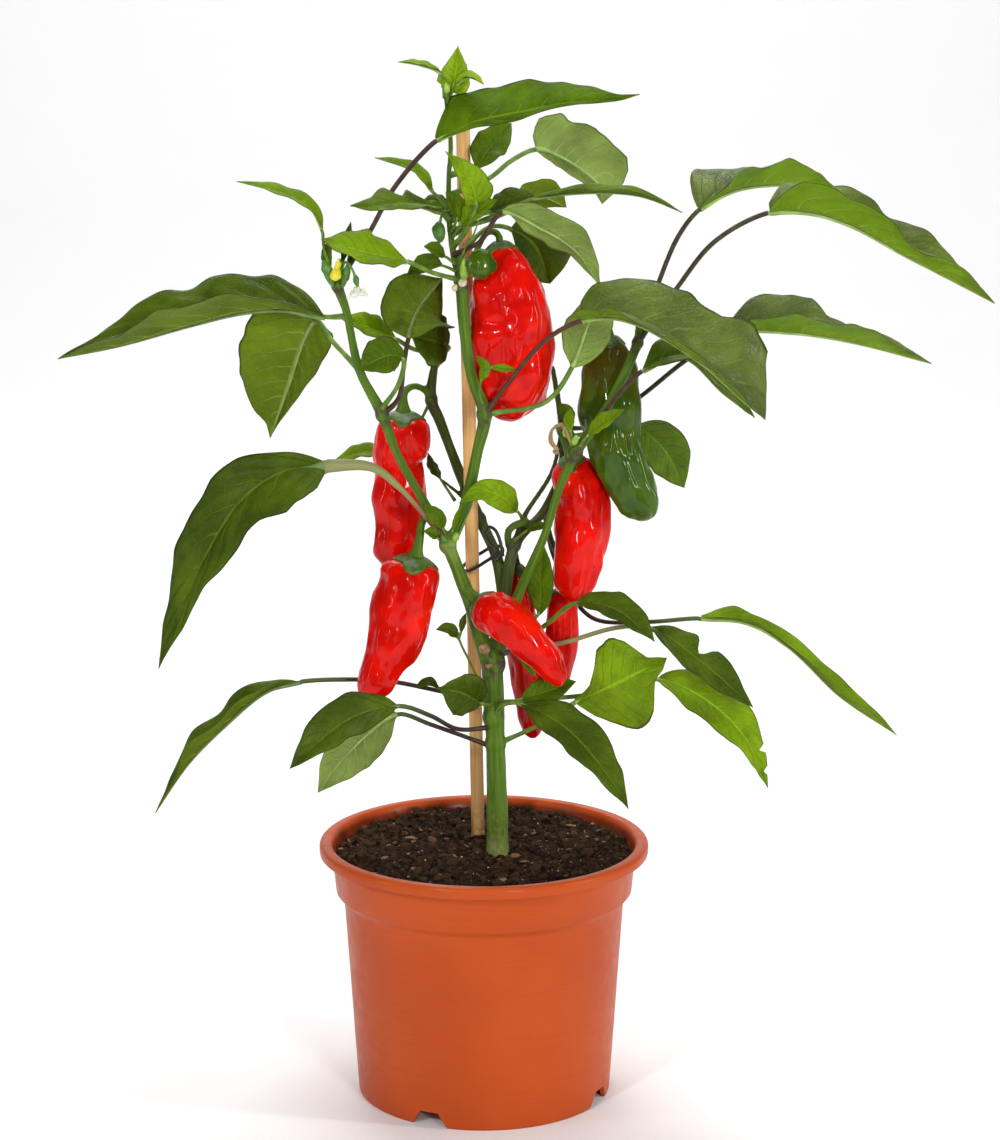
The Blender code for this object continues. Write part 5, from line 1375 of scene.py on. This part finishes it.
def make_pot(material):
    """The nursery pot: a finely turned shell with rounded lips, and notches and drains cut out."""
    profile = [np.array(POT_PROFILE[0], float)]
    for point in np.array(POT_PROFILE[1:], float):
        start = profile[-1]
        steps = max(1, int(np.linalg.norm(point - start) / 12))
        profile += [start + (point - start) * (k + 1) / steps for k in range(steps)]
    profile = np.array(profile)[1:-1]
    angle = circle(POT_SEGMENTS)
    rings = np.stack([np.outer(profile[:, 0], np.cos(angle)),
                      np.outer(profile[:, 0], np.sin(angle)),
                      np.repeat(profile[:, 1:], POT_SEGMENTS, 1)], -1)
    points = np.concatenate([rings.reshape(-1, 3), [[0, 0, POT_PROFILE[0][1]], [0, 0, 0]]])
    faces = grid_faces(len(profile), POT_SEGMENTS, True)
    inner, outer = len(points) - 2, len(points) - 1
    last = (len(profile) - 1) * POT_SEGMENTS
    for j in range(POT_SEGMENTS):
        k = (j + 1) % POT_SEGMENTS
        faces += [(inner, k, j), (outer, last + j, last + k)]
    mesh = mesh_from("pot_wall", points, faces)
    for azimuth in NOTCH_AZIMUTHS:
        tool = notch_tool(azimuth)
        mesh = modified(mesh, "BOOLEAN", operation="DIFFERENCE", solver="EXACT", object=tool)
        bpy.data.objects.remove(tool)
    spots = coordinates(mesh)
    out = np.hypot(spots[:, 0], spots[:, 1])
    # the inner wall above the soil, which gets the painted shade and soil stains
    inside = (out > SHADED_STAINED_WALL[0]) * (out < SHADED_STAINED_WALL[1]) * (spots[:, 2] > SHADED_STAINED_WALL_FOOT)
    give(mesh, "inside", inside)
    mesh.shade_smooth()
    mesh.set_sharp_from_angle(angle=math.radians(35))
    piece("moulded_pot", mesh, [material], "pot_plastic", "pot")


def soil_height(x, y):
    """The height of the soil's surface: lumpy, heaped round the stem and higher at the back."""
    places = np.stack([x, y, 0 * x], -1)
    height = (0.9 * ripple(places, 34, 11) + 0.75 * ripple(places, 13, 12)
              + 0.5 * ripple(places, 5.5, 13))
    height += 0.32 * ripple(places, 2.6, 14, 40)
    heap = 1.6 * np.exp(-((x - 7) ** 2 + (y + 2) ** 2) / 14 ** 2)
    edge = np.clip((SOIL_RADIUS - np.hypot(x, y)) / 6, 0, 1)
    back = 2.4 * np.clip((y - 8) / 45, 0, 1)
    return SOIL_LEVEL + height * (0.35 + 0.65 * edge) + heap + back - 0.8 * (1 - edge)


def make_soil(material):
    """The soil's body: a lumpy top, closed below."""
    rings, columns = 96, 260
    radius, angle = np.linspace(0.3, SOIL_RADIUS, rings), circle(columns)
    x, y = np.outer(radius, np.cos(angle)), np.outer(radius, np.sin(angle))
    top = np.stack([x, y, soil_height(x, y)], -1).reshape(-1, 3)
    wall = [np.stack([out * np.cos(angle), out * np.sin(angle), np.full(columns, low)], -1)
            for low, out in SOIL_WALL]
    points = np.concatenate([top, *wall])
    mesh = mesh_from("soil_bed", points, tube_faces(rings + len(wall), columns))
    give(mesh, "shade", np.clip(0.3 + 0.25 * ripple(points, 4, 21, 30), 0, 1))
    piece("peat_bed", mesh, [material], "potting_soil", "soil")


def make_crumbs(name, material, count, sizes, flatness, seed, level):
    """Many small lumps scattered over the soil, each its own shape and shade."""
    dice = np.random.default_rng(seed)
    shape, shape_faces = ball(1, 1.0)
    parts, shades = [], []
    for _ in range(count):
        out = (SOIL_RADIUS - 1.0) * math.sqrt(dice.uniform(0, 1))
        way = dice.uniform(0, 2 * math.pi)
        x, y = out * math.cos(way), out * math.sin(way)
        size = sizes[0] * (sizes[1] / sizes[0]) ** (dice.uniform() ** 2.2)
        lump = shape * (1 + dice.normal(0, 0.16, (len(shape), 1)))
        lump = lump * np.array([dice.uniform(0.8, 1.6), dice.uniform(0.7, 1.1), flatness])
        lean, turn = dice.uniform(-0.7, 0.7), dice.uniform(0, 2 * math.pi)
        tilt = np.array([[1, 0, 0], [0, math.cos(lean), -math.sin(lean)],
                         [0, math.sin(lean), math.cos(lean)]])
        spin = np.array([[math.cos(turn), -math.sin(turn), 0], [math.sin(turn), math.cos(turn), 0],
                         [0, 0, 1]])
        height = float(soil_height(np.array([x]), np.array([y]))[0]) + size * level
        parts.append((lump @ tilt.T @ spin.T * size + (x, y, height), shape_faces))
        shades += [dice.uniform(0, 1)] * len(shape)
    mesh = mesh_from(name, *join(parts), closed=False)
    give(mesh, "shade", shades)
    mesh.set_sharp_from_angle(angle=math.radians(40))
    piece(name, mesh, [material], "potting_soil")


# ---------------------------------------------------------------- buds, scars and the flower


def make_bud(name, place, way, length, radius, material):
    """A small closed bud, or with little length a corky scar."""
    place, way = np.array(place, float), unit(np.array(way, float))
    t = np.linspace(0, 1, 14)
    line = np.array([place - way * length / 2, place + way * length / 2])
    profile = radius * np.sqrt(np.clip(np.sin(math.pi * np.clip(t * 0.98 + 0.01, 0, 1)), 0, 1))
    profile = profile * np.interp(t, [0, 0.3, 1], [0.9, 1.0, 0.7])
    points, faces = tube(line, t * length, profile, 14)
    rough = ripple(points, radius * 1.6, seed_of(name)) * radius * 0.07
    mesh = mesh_from(name, points + unit(points - place) * rough[:, None], faces)
    piece(name, mesh, [material], "green_stem")


def make_thread(name, route, radii, material):
    """A thin bare stalk."""
    curve = smooth_curve(route)
    marks = lengths(curve)
    stations = np.linspace(0, marks[-1], max(8, int(marks[-1] / 0.8)))
    around = np.interp(stations, marks[::PER_SPAN], radii)
    mesh = mesh_from(name, *tube(curve, stations, around, 10))
    piece(name, mesh, [material], "green_stem")


def make_flower(petal_material, heart_material):
    """A small white flower that hangs: thin petals, every second one lower, and a yellow heart."""
    place, way = np.array(FLOWER_PLACE, float), unit(np.array(FLOWER_FACE, float))
    side = unit(np.cross(way, (0, 0, 1)))
    up = np.cross(side, way)
    rows, columns = 9, 7
    t, v = np.linspace(0, 1, rows)[:, None], np.linspace(-1, 1, columns)[None, :]
    width = 2.9 * np.sin(math.pi * (0.14 + 0.82 * t)) ** 0.8
    bend = 4.6 * np.sin(t * 1.5) - 0.5 * (v ** 2) * t
    upper, lower, rim = sheet_faces(rows, columns)
    parts = []
    for k in range(PETALS):
        turn = 2 * math.pi * k / PETALS + 0.3
        out = side * math.cos(turn) + up * math.sin(turn)
        sheet = (place + out * (6.2 * t)[..., None] + way * (bend + 0.35 * (k % 2))[..., None]
                 + np.cross(way, out) * (width * v)[..., None])
        parts.append((np.concatenate([sheet + way * 0.12, sheet - way * 0.12]).reshape(-1, 3),
                      upper + lower + rim))
    piece("flower_petals", mesh_from("petals", *join(parts)), [petal_material], "leaf")
    make_bud("flower_heart", place + way * 1.8, way, 4.5, 1.5, heart_material)


# ---------------------------------------------------------------- everything together


def make_stage():
    """A pale seamless floor that rises behind, soft lamps, a bright even sky and the camera."""
    floor = bpy.data.meshes.new("floor")
    shell = bmesh.new()
    bend = [(2.2 + 1.2 * math.sin(a), 1.2 - 1.2 * math.cos(a))
            for a in np.linspace(0, math.pi / 2, 12)]
    rows = [[shell.verts.new((x, y, z)) for x in (-6, 6)] for y, z in [(-6, 0), *bend, (3.4, 5)]]
    for near, far in zip(rows, rows[1:]):
        shell.faces.new((near[0], near[1], far[1], far[0]))
    shell.to_mesh(floor)
    shell.free()
    floor.shade_smooth()
    pale = bpy.data.materials.new("studio_floor")
    pale.use_nodes = True
    matt = pale.node_tree.nodes["Principled BSDF"].inputs
    matt["Base Color"].default_value = (0.9, 0.9, 0.9, 1)
    matt["Roughness"].default_value = 0.9
    floor.materials.append(pale)
    show("floor", floor)

    scene = bpy.context.scene
    scene.world = bpy.data.worlds.new("studio")
    scene.world.use_nodes = True
    sky = scene.world.node_tree.nodes["Background"].inputs
    sky[0].default_value = (1, 1, 1, 1)
    sky[1].default_value = SKY_LIGHT

    for name, (place, aim, size, tall, power) in LAMPS.items():
        lamp = bpy.data.lights.new(name, "AREA")
        lamp.shape = "RECTANGLE"
        lamp.size, lamp.size_y, lamp.energy = size, tall, power
        holder = show(name, lamp)
        holder.location = place
        holder.rotation_euler = (Vector(aim) - Vector(place)).to_track_quat("-Z", "Y").to_euler()

    lens = bpy.data.cameras.new("camera")
    lens.lens = CAMERA_LENS
    scene.camera = show("camera", lens)
    scene.camera.location = CAMERA_PLACE
    scene.camera.rotation_euler = (math.radians(CAMERA_TILT), 0, 0)
    scene.view_settings.view_transform = "Standard"


make_stage()
make_pot(pot_material())
peat = soil_material("peat", (0.012, 0.006, 0.003), (0.055, 0.027, 0.012))
bark = soil_material("bark", (0.075, 0.028, 0.012), (0.26, 0.15, 0.075))
pearl = soil_material("pearl", (0.30, 0.21, 0.10), (0.52, 0.42, 0.25))
make_soil(peat)
make_crumbs("peat_crumbs", peat, 2400, (0.45, 3.0), 0.75, 31, 0.25)
make_crumbs("bark_bits", bark, 300, (0.5, 2.6), 0.35, 32, 0.4)
make_crumbs("pearl_bits", pearl, 170, (0.25, 0.7), 0.7, 33, 0.5)
make_stake(stake_material())
make_tie(wire_material())
make_stem(stem_material())
cap = calyx_material()
skins = {kind: fruit_material(kind) for kind in ("red", "green")}
for fruit_name in FRUITS:
    fruit(fruit_name, skins[FRUITS[fruit_name][3]])
    calyx(fruit_name, cap)
make_leaves()
small = {
    "green": plain_material("bud_green", (0.06, 0.15, 0.015), 0.7, 0.4),
    "pale": plain_material("bud_pale", (0.20, 0.33, 0.035), 0.5, 0.4),
    "yellow": plain_material("bud_yellow", (0.70, 0.60, 0.03), 0.25, 0.45),
    "corky": plain_material("scar_corky", (0.55, 0.47, 0.34), 0.35, 0.75, 1.6),
    "bark": plain_material("scar_bark", (0.22, 0.13, 0.055), 0.9, 0.7, 1.6),
}
for make, table in ((make_bud, BUDS), (make_thread, THREADS)):
    for name, (*shape, colour) in table.items():
        make(name, *shape, small[colour])
make_flower(plain_material("petal_white", (0.84, 0.84, 0.77), 0.12, 0.5), small["yellow"])
